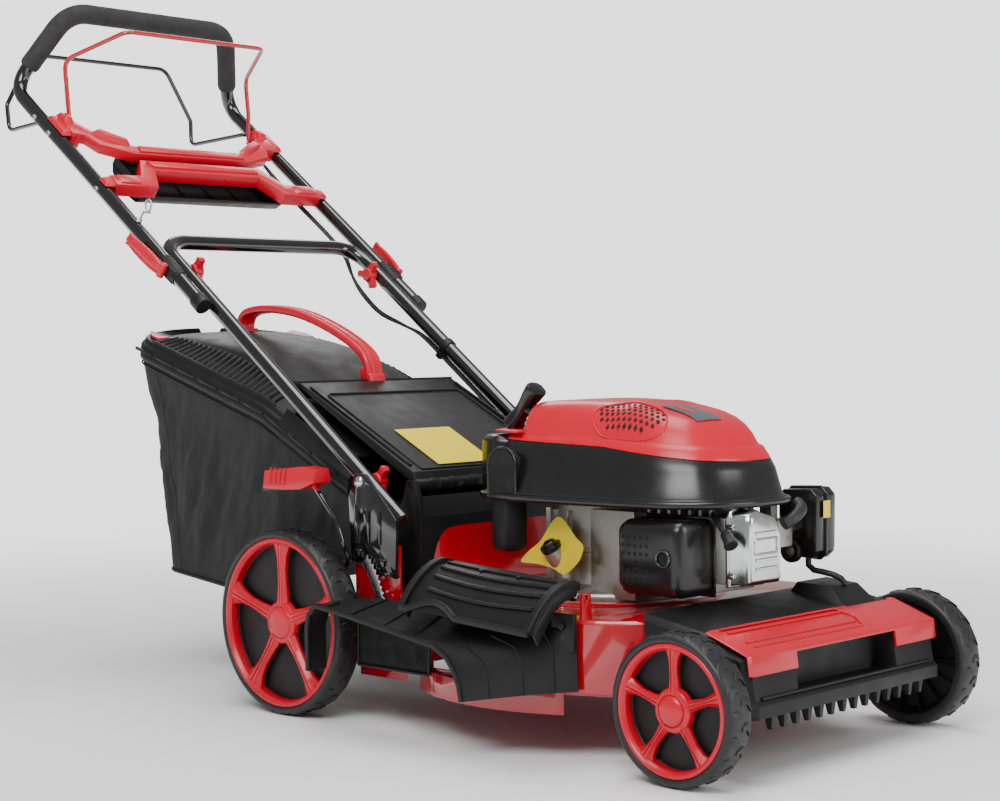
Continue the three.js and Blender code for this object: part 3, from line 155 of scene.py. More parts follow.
# ---- finishes -----------------------------------------------------------------------------------
class Finish:
    """A node material on object coordinates, with the parts that finishes share."""
    MIX_FIRST, MIX_SECOND, MIX_RESULT = 6, 7, 2  # the colour sockets of a Mix node

    def __init__(self, name, base, roughness, **sockets):
        self.material = bpy.data.materials.new(name)
        self.material.use_nodes = True
        self.nodes = self.material.node_tree.nodes
        self.shader = self.nodes["Principled BSDF"]
        self.base = tuple(base)
        self.set(self.shader, "Base Color", (*base, 1))
        self.set(self.shader, "Roughness", roughness)
        for socket, value in sockets.items():
            self.set(self.shader, socket.replace("_", " "), value)
        self.place = self.nodes.new("ShaderNodeTexCoord").outputs["Object"]
        self.last = None

    @staticmethod
    def set(node, socket, value):
        node.inputs[socket].default_value = value

    def link(self, out, into):
        self.material.node_tree.links.new(out, into)

    def noise(self, scale, detail=3.0, stretch=None, place=None):
        node = self.nodes.new("ShaderNodeTexNoise")
        self.set(node, "Scale", scale)
        self.set(node, "Detail", detail)
        source = place or self.place
        if stretch:
            mapping = self.nodes.new("ShaderNodeMapping")
            self.set(mapping, "Scale", stretch)
            self.link(source, mapping.inputs["Vector"])
            source = mapping.outputs["Vector"]
        self.link(source, node.inputs["Vector"])
        return node.outputs["Fac"]

    def spread(self, value, low, high, start=0.3, end=0.7):
        node = self.nodes.new("ShaderNodeMapRange")
        for socket, number in zip(("From Min", "From Max", "To Min", "To Max"), (start, end, low, high)):
            self.set(node, socket, number)
        self.link(value, node.inputs["Value"])
        return node.outputs["Result"]

    def vary_colour(self, value, other):
        node = self.nodes.new("ShaderNodeMix")
        node.data_type = "RGBA"
        self.set(node, self.MIX_FIRST, (*self.base, 1))
        self.set(node, self.MIX_SECOND, (*other, 1))
        self.link(value, node.inputs["Factor"])
        self.link(node.outputs[self.MIX_RESULT], self.shader.inputs["Base Color"])
        return self

    def vary_roughness(self, value, low, high):
        self.link(self.spread(value, low, high), self.shader.inputs["Roughness"])
        return self

    def bump(self, value, depth, strength=1.0):
        node = self.nodes.new("ShaderNodeBump")
        self.set(node, "Distance", depth)
        self.set(node, "Strength", strength)
        self.link(value, node.inputs["Height"])
        if self.last:
            self.link(self.last, node.inputs["Normal"])
        self.last = node.outputs["Normal"]
        self.link(self.last, self.shader.inputs["Normal"])
        return self


def tinted(base, by):
    return tuple(min(1.0, channel * by) for channel in base)


def moulded(name, base, roughness, grain=0.00004, **sockets):
    """Injection-moulded plastic: fine spark grain, faint flow marks and handling sheen."""
    finish = Finish(name, base, roughness, **sockets)
    finish.vary_colour(finish.noise(9.0, 4.0), tinted(base, 1.25))
    finish.vary_roughness(finish.noise(38.0, 5.0), roughness * 0.88, roughness * 1.14)
    finish.bump(finish.noise(1500.0, 2.0), grain)
    return finish.material


def enamel(name, base, roughness):
    """Sprayed enamel with a clear gloss and a slight orange peel."""
    finish = Finish(name, base, roughness, Coat_Weight=0.8, Coat_Roughness=0.04)
    finish.vary_colour(finish.noise(5.0, 3.0), tinted(base, 0.88))
    finish.vary_roughness(finish.noise(24.0, 4.0), roughness * 0.8, roughness * 1.25)
    finish.bump(finish.noise(260.0, 2.0), 0.00005)
    return finish.material


def bare_metal(name, base, roughness, stretch=None, depth=0.00003, scale=420.0):
    """Plated or cast metal with its grain and a little staining."""
    finish = Finish(name, base, roughness, Metallic=1.0)
    finish.vary_colour(finish.noise(30.0, 5.0), tinted(base, 0.72))
    finish.vary_roughness(finish.noise(90.0, 4.0), roughness * 0.75, roughness * 1.3)
    finish.bump(finish.noise(scale, 3.0, stretch), depth)
    return finish.material


def rubbery(name, base, roughness, depth=0.00008, scale=700.0):
    finish = Finish(name, base, roughness)
    finish.vary_colour(finish.noise(14.0, 5.0), tinted(base, 1.7))
    finish.vary_roughness(finish.noise(60.0, 4.0), roughness * 0.82, min(1.0, roughness * 1.1))
    finish.bump(finish.noise(scale, 3.0), depth)
    return finish.material


def woven(name, base, pitch):
    """Open woven mesh on the cloth's own UV map, one unit to a metre."""
    finish = Finish(name, base, 0.74, Sheen_Weight=0.04, Sheen_Roughness=0.5)
    finish.place = finish.nodes.new("ShaderNodeTexCoord").outputs["UV"]
    threads = []
    for direction in ("X", "Y"):
        wave = finish.nodes.new("ShaderNodeTexWave")
        wave.wave_type = "BANDS"
        wave.bands_direction = direction
        wave.wave_profile = "SIN"
        finish.set(wave, "Scale", 0.314 / pitch)
        finish.set(wave, "Distortion", 0.6)
        finish.set(wave, "Detail Scale", 0.3)
        finish.link(finish.place, wave.inputs["Vector"])
        threads.append(wave.outputs["Fac"])
    cross = finish.nodes.new("ShaderNodeMath")
    cross.operation = "MULTIPLY"
    finish.link(threads[0], cross.inputs[0])
    finish.link(threads[1], cross.inputs[1])
    finish.vary_colour(finish.spread(cross.outputs[0], 0.0, 1.0, 0.35, 0.8), tinted(base, 4.0))
    finish.bump(cross.outputs[0], 0.0004)
    finish.bump(finish.noise(60.0, 4.0), 0.0006)
    return finish.material


FINISHES = {}


def make_finishes(context):
    paint = context.scene.mower_colours
    entries = {
        "red_paint": (enamel("deck_enamel", paint.red_paint, 0.16), "red_paint"),
        "red_plastic": (moulded("red_moulding", paint.red_plastic, 0.30, 0.00002), "red_plastic"),
        "black_plastic": (moulded("black_moulding", paint.black_plastic, 0.46, Specular_IOR_Level=0.32),
                          "black_plastic"),
        "black_smooth": (moulded("black_smooth_moulding", paint.black_plastic, 0.26, 0.00001),
                         "black_plastic"),
        "black_paint": (enamel("black_enamel", paint.black_paint, 0.12), "black_paint"),
        "zinc_steel": (bare_metal("zinc_plate", (0.62, 0.64, 0.66), 0.24), "zinc_steel"),
        "cast_aluminium": (bare_metal("cast_aluminium", (0.55, 0.53, 0.49), 0.46, None, 0.00012, 260.0),
                           "cast_aluminium"),
        "pressed_steel": (bare_metal("bright_pressed_steel", (0.70, 0.72, 0.72), 0.20), "pressed_steel"),
        "rubber": (rubbery("hose_rubber", paint.rubber, 0.55), "rubber"),
        "tyre_rubber": (rubbery("tyre_rubber", paint.rubber, 0.50), "tyre_rubber"),
        "foam": (rubbery("grip_foam", (0.016, 0.016, 0.016), 0.92, 0.0003, 520.0), "foam"),
        "mesh_fabric": (woven("bag_mesh", paint.cloth, sizes().weave), "mesh_fabric"),
        # painted shade: a near-black finish laid in holes, slots and openings that show only shade
        "painted_shade": (rubbery("unlit_inside", (0.004, 0.004, 0.004), 0.9), "black_plastic"),
        "panel": (moulded("panel_film", paint.panel, 0.35, 0.00001), "black_plastic"),
        "grey_panel": (moulded("grey_film", (0.06, 0.085, 0.09), 0.3, 0.00001), "black_plastic"),
    }
    for key, (material, slot) in entries.items():
        FINISHES[key] = material


# ---- mesh tools ---------------------------------------------------------------------------------
# A part is (points in millimetres, faces). build() places parts and makes them one finished piece.
def prism(outline, low, high, axis="z"):
    order = {"x": lambda a, b, h: (h, a, b), "y": lambda a, b, h: (a, h, b), "z": lambda a, b, h: (a, b, h)}
    turn = order[axis]
    count = len(outline)
    points = [turn(a, b, low) for a, b in outline] + [turn(a, b, high) for a, b in outline]
    faces = [list(range(count))[::-1], list(range(count, 2 * count))]
    faces += [[i, (i + 1) % count, count + (i + 1) % count, count + i] for i in range(count)]
    return points, faces


def block(x0, x1, y0, y1, z0, z1):
    return prism([(x0, y0), (x1, y0), (x1, y1), (x0, y1)], z0, z1)


def surface(rows, closed=False, caps=False):
    """Quads between rows of points; closed joins each row's ends, caps fills the first and last row."""
    width = len(rows[0])
    points = [point for row in rows for point in row]
    faces = []
    for r in range(len(rows) - 1):
        for c in range(width if closed else width - 1):
            d = (c + 1) % width
            faces.append([r * width + c, r * width + d, (r + 1) * width + d, (r + 1) * width + c])
    if caps:
        faces.append(list(range(width))[::-1])
        faces.append([(len(rows) - 1) * width + c for c in range(width)])
    return points, faces


def turned(profile, centre, axis="y", steps=64):
    """A closed profile of (radius, distance along the axis) turned about a line through the centre."""
    rows = []
    for i in range(steps):
        angle = 2 * math.pi * i / steps
        c, s = math.cos(angle), math.sin(angle)
        if axis == "y":
            rows.append([(centre[0] + r * c, centre[1] + h, centre[2] + r * s) for r, h in profile])
        elif axis == "x":
            rows.append([(centre[0] + h, centre[1] + r * c, centre[2] + r * s) for r, h in profile])
        else:
            rows.append([(centre[0] + r * c, centre[1] + r * s, centre[2] + h) for r, h in profile])
    return surface(rows + rows[:1], closed=True)


def bar(start, end, radius, sides=24, end_radius=None, round_by=0.0):
    """A round bar with slightly eased ends."""
    a, b = Vector(start), Vector(end)
    way = (b - a).normalized()
    across = way.orthogonal().normalized()
    other = way.cross(across)
    last = radius if end_radius is None else end_radius
    ease = round_by or min(0.8, radius * 0.2)
    rows = []
    for point, r in ((a, radius - ease), (a + way * ease, radius), (b - way * ease, last),
                     (b, last - ease)):
        rows.append([tuple(point + (across * math.cos(t) + other * math.sin(t)) * r)
                     for t in (2 * math.pi * i / sides for i in range(sides))])
    return surface(rows, closed=True, caps=True)


def path(corners, radii, steps=8):
    """Corners joined by straight runs, with a smooth bend of the given reach at each inner corner."""
    places = [Vector(corner) for corner in corners]
    points = [places[0]]
    for i in range(1, len(places) - 1):
        radius = radii[i - 1] if isinstance(radii, (list, tuple)) else radii
        back = (places[i - 1] - places[i]).normalized()
        on = (places[i + 1] - places[i]).normalized()
        reach = radius / math.tan(back.angle(on) / 2)
        a, b = places[i] + back * reach, places[i] + on * reach
        for k in range(steps + 1):
            t = k / steps
            points.append(a * (1 - t) ** 2 + places[i] * 2 * t * (1 - t) + b * t ** 2)
    points.append(places[-1])
    return points


def flowing(points, steps=5):
    """A smooth curve through the points."""
    places = [Vector(point) for point in points]
    ends = [2 * places[0] - places[1], *places, 2 * places[-1] - places[-2]]
    result = []
    for i in range(1, len(ends) - 2):
        a, b, c, d = ends[i - 1:i + 3]
        for k in range(steps):
            t = k / steps
            result.append(0.5 * (2 * b + (c - a) * t + (2 * a - 5 * b + 4 * c - d) * t * t
                                 + (3 * b - a - 3 * c + d) * t ** 3))
    return result + [places[-1]]


def tube(points, radius, sides=20, section=None):
    """A round or other section swept along points; radius may be a function of the share."""
    places = [Vector(point) for point in points]
    way = (places[1] - places[0]).normalized()
    across = way.orthogonal().normalized()
    if section:
        across = Vector((0, 1, 0))
    rows = []
    for i, place in enumerate(places):
        ahead = (places[min(i + 1, len(places) - 1)] - places[max(i - 1, 0)]).normalized()
        turn = way.rotation_difference(ahead)
        across = (turn @ across).normalized()
        across = (across - ahead * across.dot(ahead)).normalized()
        way = ahead
        other = way.cross(across)
        size = radius(i / (len(places) - 1)) if callable(radius) else radius
        shape = section or [(math.cos(2 * math.pi * k / sides), math.sin(2 * math.pi * k / sides))
                            for k in range(sides)]
        rows.append([tuple(place + (across * a + other * b) * size) for a, b in shape])
    return surface(rows, closed=True, caps=True)


def hull(*points):
    mesh = bmesh.new()
    for point in points:
        mesh.verts.new(point)
    bmesh.ops.convex_hull(mesh, input=mesh.verts)
    bmesh.ops.dissolve_limit(mesh, angle_limit=0.01, verts=mesh.verts, edges=mesh.edges)
    loose = [vert for vert in mesh.verts if not vert.link_faces]
    bmesh.ops.delete(mesh, geom=loose, context="VERTS")
    mesh.verts.index_update()
    part = [tuple(vert.co) for vert in mesh.verts], [[vert.index for vert in face.verts]
            for face in mesh.faces]
    mesh.free()
    return part


def moved(part, function):
    return [function(*point) for point in part[0]], part[1]


def mesh_object(name, parts, place):
    points, faces = [], []
    for part_points, part_faces in parts:
        faces += [[index + len(points) for index in face] for face in part_faces]
        points += [place(*point) for point in part_points]
    mesh = bpy.data.meshes.new(name)
    mesh.from_pydata(points, [], faces)
    thing = bpy.data.objects.new(name, mesh)
    bpy.context.scene.collection.objects.link(thing)
    return thing


def outward(thing):
    work = bmesh.new()
    work.from_mesh(thing.data)
    bmesh.ops.remove_doubles(work, verts=work.verts, dist=1e-6)
    bmesh.ops.recalc_face_normals(work, faces=work.faces)
    work.to_mesh(thing.data)
    work.free()


def settle(thing):
    """Turns the object's modifiers into plain mesh."""
    bpy.context.view_layer.update()
    graph = bpy.context.evaluated_depsgraph_get()
    mesh = bpy.data.meshes.new_from_object(thing.evaluated_get(graph))
    thing.modifiers.clear()
    old = thing.data
    thing.data = mesh
    if old.users == 0:
        bpy.data.meshes.remove(old)
    mesh.name = thing.name


def thickened(name, parts, thickness, offset=-1):
    """A sheet of the given parts, made solid; the offset says to which side of it."""
    thing = mesh_object(name, parts, at)
    wall = thing.modifiers.new("wall", "SOLIDIFY")
    wall.thickness = thickness * MM
    wall.offset = offset
    settle(thing)
    return thing


def ease_edges(thing, width, segments=2, angle=32):
    bevel = thing.modifiers.new("edges", "BEVEL")
    bevel.width = width * MM
    bevel.segments = segments
    bevel.limit_method = "ANGLE"
    bevel.angle_limit = math.radians(angle)
    bevel.use_clamp_overlap = True
    settle(thing)


def subdivide(thing, levels):
    modifier = thing.modifiers.new("smooth", "SUBSURF")
    modifier.levels = modifier.render_levels = levels
    settle(thing)


def shade(thing, angle=38):
    thing.data.shade_smooth()
    thing.data.set_sharp_from_angle(angle=math.radians(angle))


def dress(thing, body, finish, replaces=()):
    thing.data.materials.clear()
    thing.data.materials.append(FINISHES[finish])
    for polygon in thing.data.polygons:
        polygon.material_index = 0
    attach(thing, body)
    if replaces:
        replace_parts(thing, *replaces)
    return thing


def build(name, parts, body, finish, edge=0.0, place=at, replaces=(), angle=38, smooth=0):
    thing = mesh_object(name, parts, place)
    outward(thing)
    if smooth:
        subdivide(thing, smooth)
    if edge:
        ease_edges(thing, edge)
    shade(thing, angle)
    return dress(thing, body, finish, replaces)


def refined(node, finish, edge=1.0, angle=38):
    """A copy of a CAD node with its edges rounded, which stands for the node."""
    body = next(name for name, nodes in frame["record"]["behaviour"]["bodies"].items() if node in nodes)
    thing = bpy.data.objects.new(node + "_finished", frame["nodes"][node].data.copy())
    bpy.context.scene.collection.objects.link(thing)
    work = bmesh.new()
    work.from_mesh(thing.data)
    bmesh.ops.remove_doubles(work, verts=work.verts, dist=2e-5)
    bmesh.ops.dissolve_limit(work, angle_limit=math.radians(1.0), verts=work.verts, edges=work.edges)
    work.to_mesh(thing.data)
    work.free()
    if edge:
        ease_edges(thing, edge)
    shade(thing, angle)
    return dress(thing, body, finish, (node,))


# ---- geometry node trees ------------------------------------------------------------------------
def node_tree(name, inputs):
    tree = bpy.data.node_groups.new(name, "GeometryNodeTree")
    tree.interface.new_socket("Geometry", in_out="INPUT", socket_type="NodeSocketGeometry")
    for label, kind in inputs:
        tree.interface.new_socket(label, in_out="INPUT", socket_type="NodeSocket" + kind)
    tree.interface.new_socket("Geometry", in_out="OUTPUT", socket_type="NodeSocketGeometry")
    return tree, tree.nodes.new("NodeGroupInput"), tree.nodes.new("NodeGroupOutput")


def repeat_tree():
    """Copies of an object in rows: Count along Step, turned by Turn each, then Rows along Row Step."""
    tree, given, result = node_tree("Repeat", [
        ("Piece", "Object"), ("Finish", "Material"), ("Count", "Int"), ("Start", "Vector"), ("Step",
                "Vector"),
        ("Turn", "Vector"), ("Rows", "Int"), ("Row Step", "Vector"), ("Stagger", "Vector")])
    new, link = tree.nodes.new, tree.links.new
    line = new("GeometryNodeMeshLine")
    line.mode = "OFFSET"
    link(given.outputs["Count"], line.inputs["Count"])
    link(given.outputs["Start"], line.inputs["Start Location"])
    link(given.outputs["Step"], line.inputs["Offset"])
    piece = new("GeometryNodeObjectInfo")
    link(given.outputs["Piece"], piece.inputs["Object"])
    index = new("GeometryNodeInputIndex")
    turn = new("ShaderNodeVectorMath")
    turn.operation = "SCALE"
    link(given.outputs["Turn"], turn.inputs[0])
    link(index.outputs[0], turn.inputs["Scale"])
    euler = new("FunctionNodeEulerToRotation")
    link(turn.outputs[0], euler.inputs[0])
    copies = new("GeometryNodeInstanceOnPoints")
    link(line.outputs["Mesh"], copies.inputs["Points"])
    link(piece.outputs["Geometry"], copies.inputs["Instance"])
    link(euler.outputs[0], copies.inputs["Rotation"])
    real = new("GeometryNodeRealizeInstances")
    link(copies.outputs["Instances"], real.inputs["Geometry"])
    rows = new("GeometryNodeMeshLine")
    rows.mode = "OFFSET"
    link(given.outputs["Rows"], rows.inputs["Count"])
    link(given.outputs["Row Step"], rows.inputs["Offset"])
    odd = new("ShaderNodeMath")
    odd.operation = "MODULO"
    odd.inputs[1].default_value = 2
    link(new("GeometryNodeInputIndex").outputs[0], odd.inputs[0])
    shift = new("ShaderNodeVectorMath")
    shift.operation = "SCALE"
    link(given.outputs["Stagger"], shift.inputs[0])
    link(odd.outputs[0], shift.inputs["Scale"])
    staggered = new("GeometryNodeSetPosition")
    link(rows.outputs["Mesh"], staggered.inputs["Geometry"])
    link(shift.outputs[0], staggered.inputs["Offset"])
    row_copies = new("GeometryNodeInstanceOnPoints")
    link(staggered.outputs["Geometry"], row_copies.inputs["Points"])
    link(real.outputs["Geometry"], row_copies.inputs["Instance"])
    all_real = new("GeometryNodeRealizeInstances")
    link(row_copies.outputs["Instances"], all_real.inputs["Geometry"])
    painted = new("GeometryNodeSetMaterial")
    link(all_real.outputs["Geometry"], painted.inputs["Geometry"])
    link(given.outputs["Finish"], painted.inputs["Material"])
    link(painted.outputs["Geometry"], result.inputs["Geometry"])
    return tree


def wire_tree():
    """A round wire along an edge chain, for piping, hems and seams."""
    tree, given, result = node_tree("Wire", [("Finish", "Material"), ("Radius", "Float"), ("Sides", "Int")])
    new, link = tree.nodes.new, tree.links.new
    curve = new("GeometryNodeMeshToCurve")
    link(given.outputs["Geometry"], curve.inputs["Mesh"])
    circle = new("GeometryNodeCurvePrimitiveCircle")
    link(given.outputs["Sides"], circle.inputs["Resolution"])
    link(given.outputs["Radius"], circle.inputs["Radius"])
    sweep = new("GeometryNodeCurveToMesh")
    link(curve.outputs["Curve"], sweep.inputs["Curve"])
    link(circle.outputs["Curve"], sweep.inputs["Profile Curve"])
    sweep.inputs["Fill Caps"].default_value = True
    painted = new("GeometryNodeSetMaterial")
    link(sweep.outputs["Mesh"], painted.inputs["Geometry"])
    link(given.outputs["Finish"], painted.inputs["Material"])
    link(painted.outputs["Geometry"], result.inputs["Geometry"])
    return tree


TREES = {}


def run_tree(thing, tree, values):
    if tree not in TREES:
        TREES[tree] = {"Repeat": repeat_tree, "Wire": wire_tree}[tree]()
    modifier = thing.modifiers.new(tree, "NODES")
    modifier.node_group = TREES[tree]
    for item in TREES[tree].interface.items_tree:
        if item.in_out == "INPUT" and item.name in values:
            modifier[item.identifier] = values[item.name]
    settle(thing)


def repeat(name, parts, body, finish, count, start=(0, 0, 0), step=(0, 0, 0), turn=(0, 0, 0), rows=1,
           row_step=(0, 0, 0), stagger=(0, 0, 0), edge=0.0, angle=38):
    """A small shape, made about the origin in millimetres, repeated by the Repeat tree."""
    source = mesh_object(name + "_unit", parts, bare)
    outward(source)
    if edge:
        ease_edges(source, edge, 1)
    thing = mesh_object(name, [], bare)
    run_tree(thing, "Repeat", {
        "Piece": source, "Finish": FINISHES[finish], "Count": count, "Start": list(start), "Step": list(step),
        "Turn": list(turn), "Rows": rows, "Row Step": list(row_step), "Stagger": list(stagger)})
    bpy.data.objects.remove(source)
    shade(thing, angle)
    return dress(thing, body, finish)


def wire(name, chains, body, finish, radius, sides=8):
    """Round piping along chains of points given in metres."""
    points, edges = [], []
    for chain in chains:
        edges += [(len(points) + i, len(points) + i + 1) for i in range(len(chain) - 1)]
        points += chain
    mesh = bpy.data.meshes.new(name)
    mesh.from_pydata(points, edges, [])
    thing = bpy.data.objects.new(name, mesh)
    bpy.context.scene.collection.objects.link(thing)
    run_tree(thing, "Wire", {"Finish": FINISHES[finish], "Radius": radius * MM, "Sides": sides})
    shade(thing, 60)
    return dress(thing, body, finish)


# ---- wheels -------------------------------------------------------------------------------------
TREAD = 13
HUB = 22


def lug_shape(radius, half, pitch, face):
    """One curved lug of the tread, from the shoulder to the middle of the tyre, on the face's side."""
    outline = [(-0.30, 1.0), (0.12, 1.0), (0.34, 0.72), (0.40, 0.42), (0.22, 0.10), (0.02, 0.02),
               (0.10, 0.34),
               (0.02, 0.62), (-0.22, 0.84)]
    low, high = radius - 2.4, radius
    rings = []
    for r, shrink in ((low, 1.0), (high, 0.93)):
        ring = []
        for a, h in outline:
            angle = (a - 0.05) * shrink * pitch
            reach = r - (2.2 if h > 0.9 else 0)
            height = face * (0.02 + (h - 0.02) * (half - 1.5 if r == low else half - 3.0))
            ring.append((reach * math.cos(angle), height, reach * math.sin(angle)))
        rings.append(ring)
    return surface(rings, closed=True, caps=True)


def wheel_parts(axle, name):
    node = f"wheel_{axle}_{name}"
    low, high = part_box(node)
    radius = (high.z - low.z) / 2 / MM
    half = (high.y - low.y) / 2 / MM
    x, y = ((low.x + high.x) / 2 - AXLE.x) / MM, ((low.y + high.y) / 2 - AXLE.y) / MM
    return node, (x, y, radius), radius, half


def spoke(radius, half, side, angle, hub, lip):
    """A flared spoke with a raised spine and a slot along it, from the hub to the rim."""
    rows = []
    for t in (0.0, 0.12, 0.3, 0.55, 0.78, 0.92, 1.0):
        reach = hub - 4 + (lip - 5 - hub + 4) * t
        wide = (11.5 - 5.0 * math.sin(math.pi * min(t * 0.9, 1)) + 9.0 * max(0,
                t - 0.72) / 0.28) * radius / 118
        top = half - 5.5 + 2.5 * t + 2.0 * max(0, 0.25 - t) / 0.25
        slot = 2.6 if 0.05 < t < 0.95 else 0.3
        spine = wide * 0.36
        section = [(-wide, half - 15), (-wide, top - 5.5), (-spine - 0.6, top - 1.4), (-spine, top),
                   (-1.3, top), (-0.8, top - slot), (0.8, top - slot), (1.3, top), (spine, top),
                   (spine + 0.6, top - 1.4), (wide, top - 5.5), (wide, half - 15)]
        rows.append([(reach * math.cos(angle) - across * math.sin(angle), side * height,
                      reach * math.sin(angle) + across * math.cos(angle)) for across, height in section])
    return surface(rows, closed=True, caps=True)


def make_wheel(axle, name, side):
    node, centre, radius, half = wheel_parts(axle, name)
    lip = radius - TREAD
    cx, cy, cz = centre

    def out(profile):
        return [(r, side * h) for r, h in profile]

    tyre = out([
        (lip - 5, 6), (lip + 0.6, 8), (lip + 0.6, half - 1.6), (lip + 1.6, half - 0.4), (radius - 7.5,
                half),
        (radius - 4.2, half - 1.4), (radius - 2.6, half - 4.5), (radius - 1.6, half * 0.4), (radius - 1.4,
                0),
        (radius - 1.6, -half * 0.4), (radius - 2.6, 4.5 - half), (radius - 4.2, 1.4 - half), (radius - 7.5,
                -half),
        (lip - 2, -half), (lip - 4, 1.5 - half), (lip - 5, -6)])
    build(f"tyre_{axle}_{name}", [turned(tyre, centre, steps=72)], node, "tyre_rubber", replaces=(node,),
          angle=45)
    count = sizes().lugs if axle == "rear" else round(sizes().lugs * 0.78)
    pitch = 2 * math.pi / count
    for face, label in ((1, "outer"), (-1, "inner")):
        start = at(*centre)
        unit = lug_shape(radius, half, pitch, side * face)
        angle = pitch / 2 if face < 0 else 0
        unit = moved(unit, lambda px, py, pz: (px * math.cos(angle) - pz * math.sin(angle), py,
                                               px * math.sin(angle) + pz * math.cos(angle)))
        repeat(f"lugs_{label}_{axle}_{name}", [unit], node, "tyre_rubber", count, start, turn=(0, pitch, 0),
               edge=0.5)
    # black disc behind the spokes, a stepped hub and ribs on the inner face
    disc = out([(9, 5 - half), (HUB - 4, 5 - half), (HUB, 8 - half), (HUB + 2, -5), (lip - 12, -5),
                (lip - 6.5, 1 - half * 0.7),
                (lip - 4.4, 2 - half), (lip - 4.4, 7.5), (lip - 10, 3), (HUB, 3), (HUB - 2, half - 16), (9,
                        half - 16)])
    build(f"disc_{axle}_{name}", [turned(disc, centre, steps=64)], node, "black_plastic", angle=30)
    rib = hull(*[(r, side * h, w) for w in (-0.9, 0.9) for r, h in
                 ((HUB - 3, 9 - half), (HUB - 3, -6), (lip - 7, -6), (lip - 6, 2 - half * 0.72),
                  (lip - 30, -half * 0.45))])
    repeat(f"disc_ribs_{axle}_{name}", [rib], node, "black_plastic", 14, at(*centre),
           turn=(0, 2 * math.pi / 14, 0))
    # red cover: rim band, five spokes and a domed hub
    band = out([(lip - 9.5, 6), (lip - 9.0, half - 6), (lip - 7.2, half - 3.6), (lip - 5.6, half - 0.8),
                (lip - 3.8, half + 0.2),
                (lip - 1.4, half - 0.4), (lip + 0.2, half - 1.6), (lip + 0.2, 6)])
    hub = HUB + (3 if axle == "front" else 7)
    dome_r = hub - 5
    rise = 7.5 if axle == "front" else 3.5
    plate = out([(0.01, half - 14), (hub + 5, half - 14), (hub + 2.5, half - 6.5), (hub - 1, half - 4.5),
                 (dome_r + 1.2, half - 4), (dome_r + 0.6, half - 5.2), (dome_r, half - 5)]
                + [(dome_r * math.cos(t), half - 4.6 + rise * math.sin(t)) for t in
                   (math.radians(a) for a in (0, 12, 25, 40, 55, 70, 82, 89.9))])
    parts = [turned(band, centre, steps=72), turned(plate, centre, steps=48)]
    tilt = math.radians(90)
    for i in range(5):
        arm = spoke(radius, half, side, tilt + 2 * math.pi * i / 5, hub, lip)
        parts.append(moved(arm, lambda px, py, pz: (px + cx, py + cy, pz + cz)))
    build(f"cover_{axle}_{name}", parts, node, "red_plastic", edge=0.7,
          replaces=(f"wheel_cap_{axle}_{name}",), angle=34)


class MOWER_OT_wheels(bpy.types.Operator):
    """Four wheels: lugged tyre, black ribbed disc and red five-spoke cover"""
    bl_idname = "mower.wheels"
    bl_label = "Wheels"

    def execute(self, context):
        for axle in ("front", "rear"):
            for name, side in SIDES:
                make_wheel(axle, name, side)
        return {"FINISHED"}


# ---- grass bag ----------------------------------------------------------------------------------
BAG_FRONT, BAG_REAR, BAG_HALF = -696.2, -1252.0, 197.0
LID_KNEE = -905.0


def rim_height(x):
    """Height of the bag's upper edge, which rises to the rear in two straight runs."""
    if x > LID_KNEE:
        return 330 + (BAG_FRONT - x) * 0.5124
    return 437 + (LID_KNEE - x) * 0.3114


def bag_bottom(x):
    if x > -892:
        return 229
    if x > -968:
        return 229 - (-892 - x) * 0.895
    return 161 + (-968 - x) * 0.109


def cloth_plan(share):
    """Points of the rim's outline by share of its length: right side, rounded rear, left side."""
    round_r = 46.0
    straight = BAG_FRONT - (BAG_REAR + round_r)
    arc = math.pi / 2 * round_r
    rear = 2 * (BAG_HALF - round_r)
    total = 2 * straight + 2 * arc + rear
    d = share * total
    if d < straight:
        return BAG_FRONT - d, -BAG_HALF, d, (0, -1)
    d2 = d - straight
    if d2 < arc:
        t = d2 / round_r
        return (BAG_REAR + round_r - round_r * math.sin(t), -BAG_HALF + round_r - round_r * math.cos(t), d,
                (-math.sin(t), -math.cos(t)))
    d3 = d2 - arc
    if d3 < rear:
        return BAG_REAR, -BAG_HALF + round_r + d3, d, (-1, 0)
    d4 = d3 - rear
    if d4 < arc:
        t = d4 / round_r
        return (BAG_REAR + round_r - round_r * math.cos(t), BAG_HALF - round_r + round_r * math.sin(t), d,
                (-math.cos(t), math.sin(t)))
    return BAG_REAR + round_r + (d4 - arc), BAG_HALF, d, (0, 1)


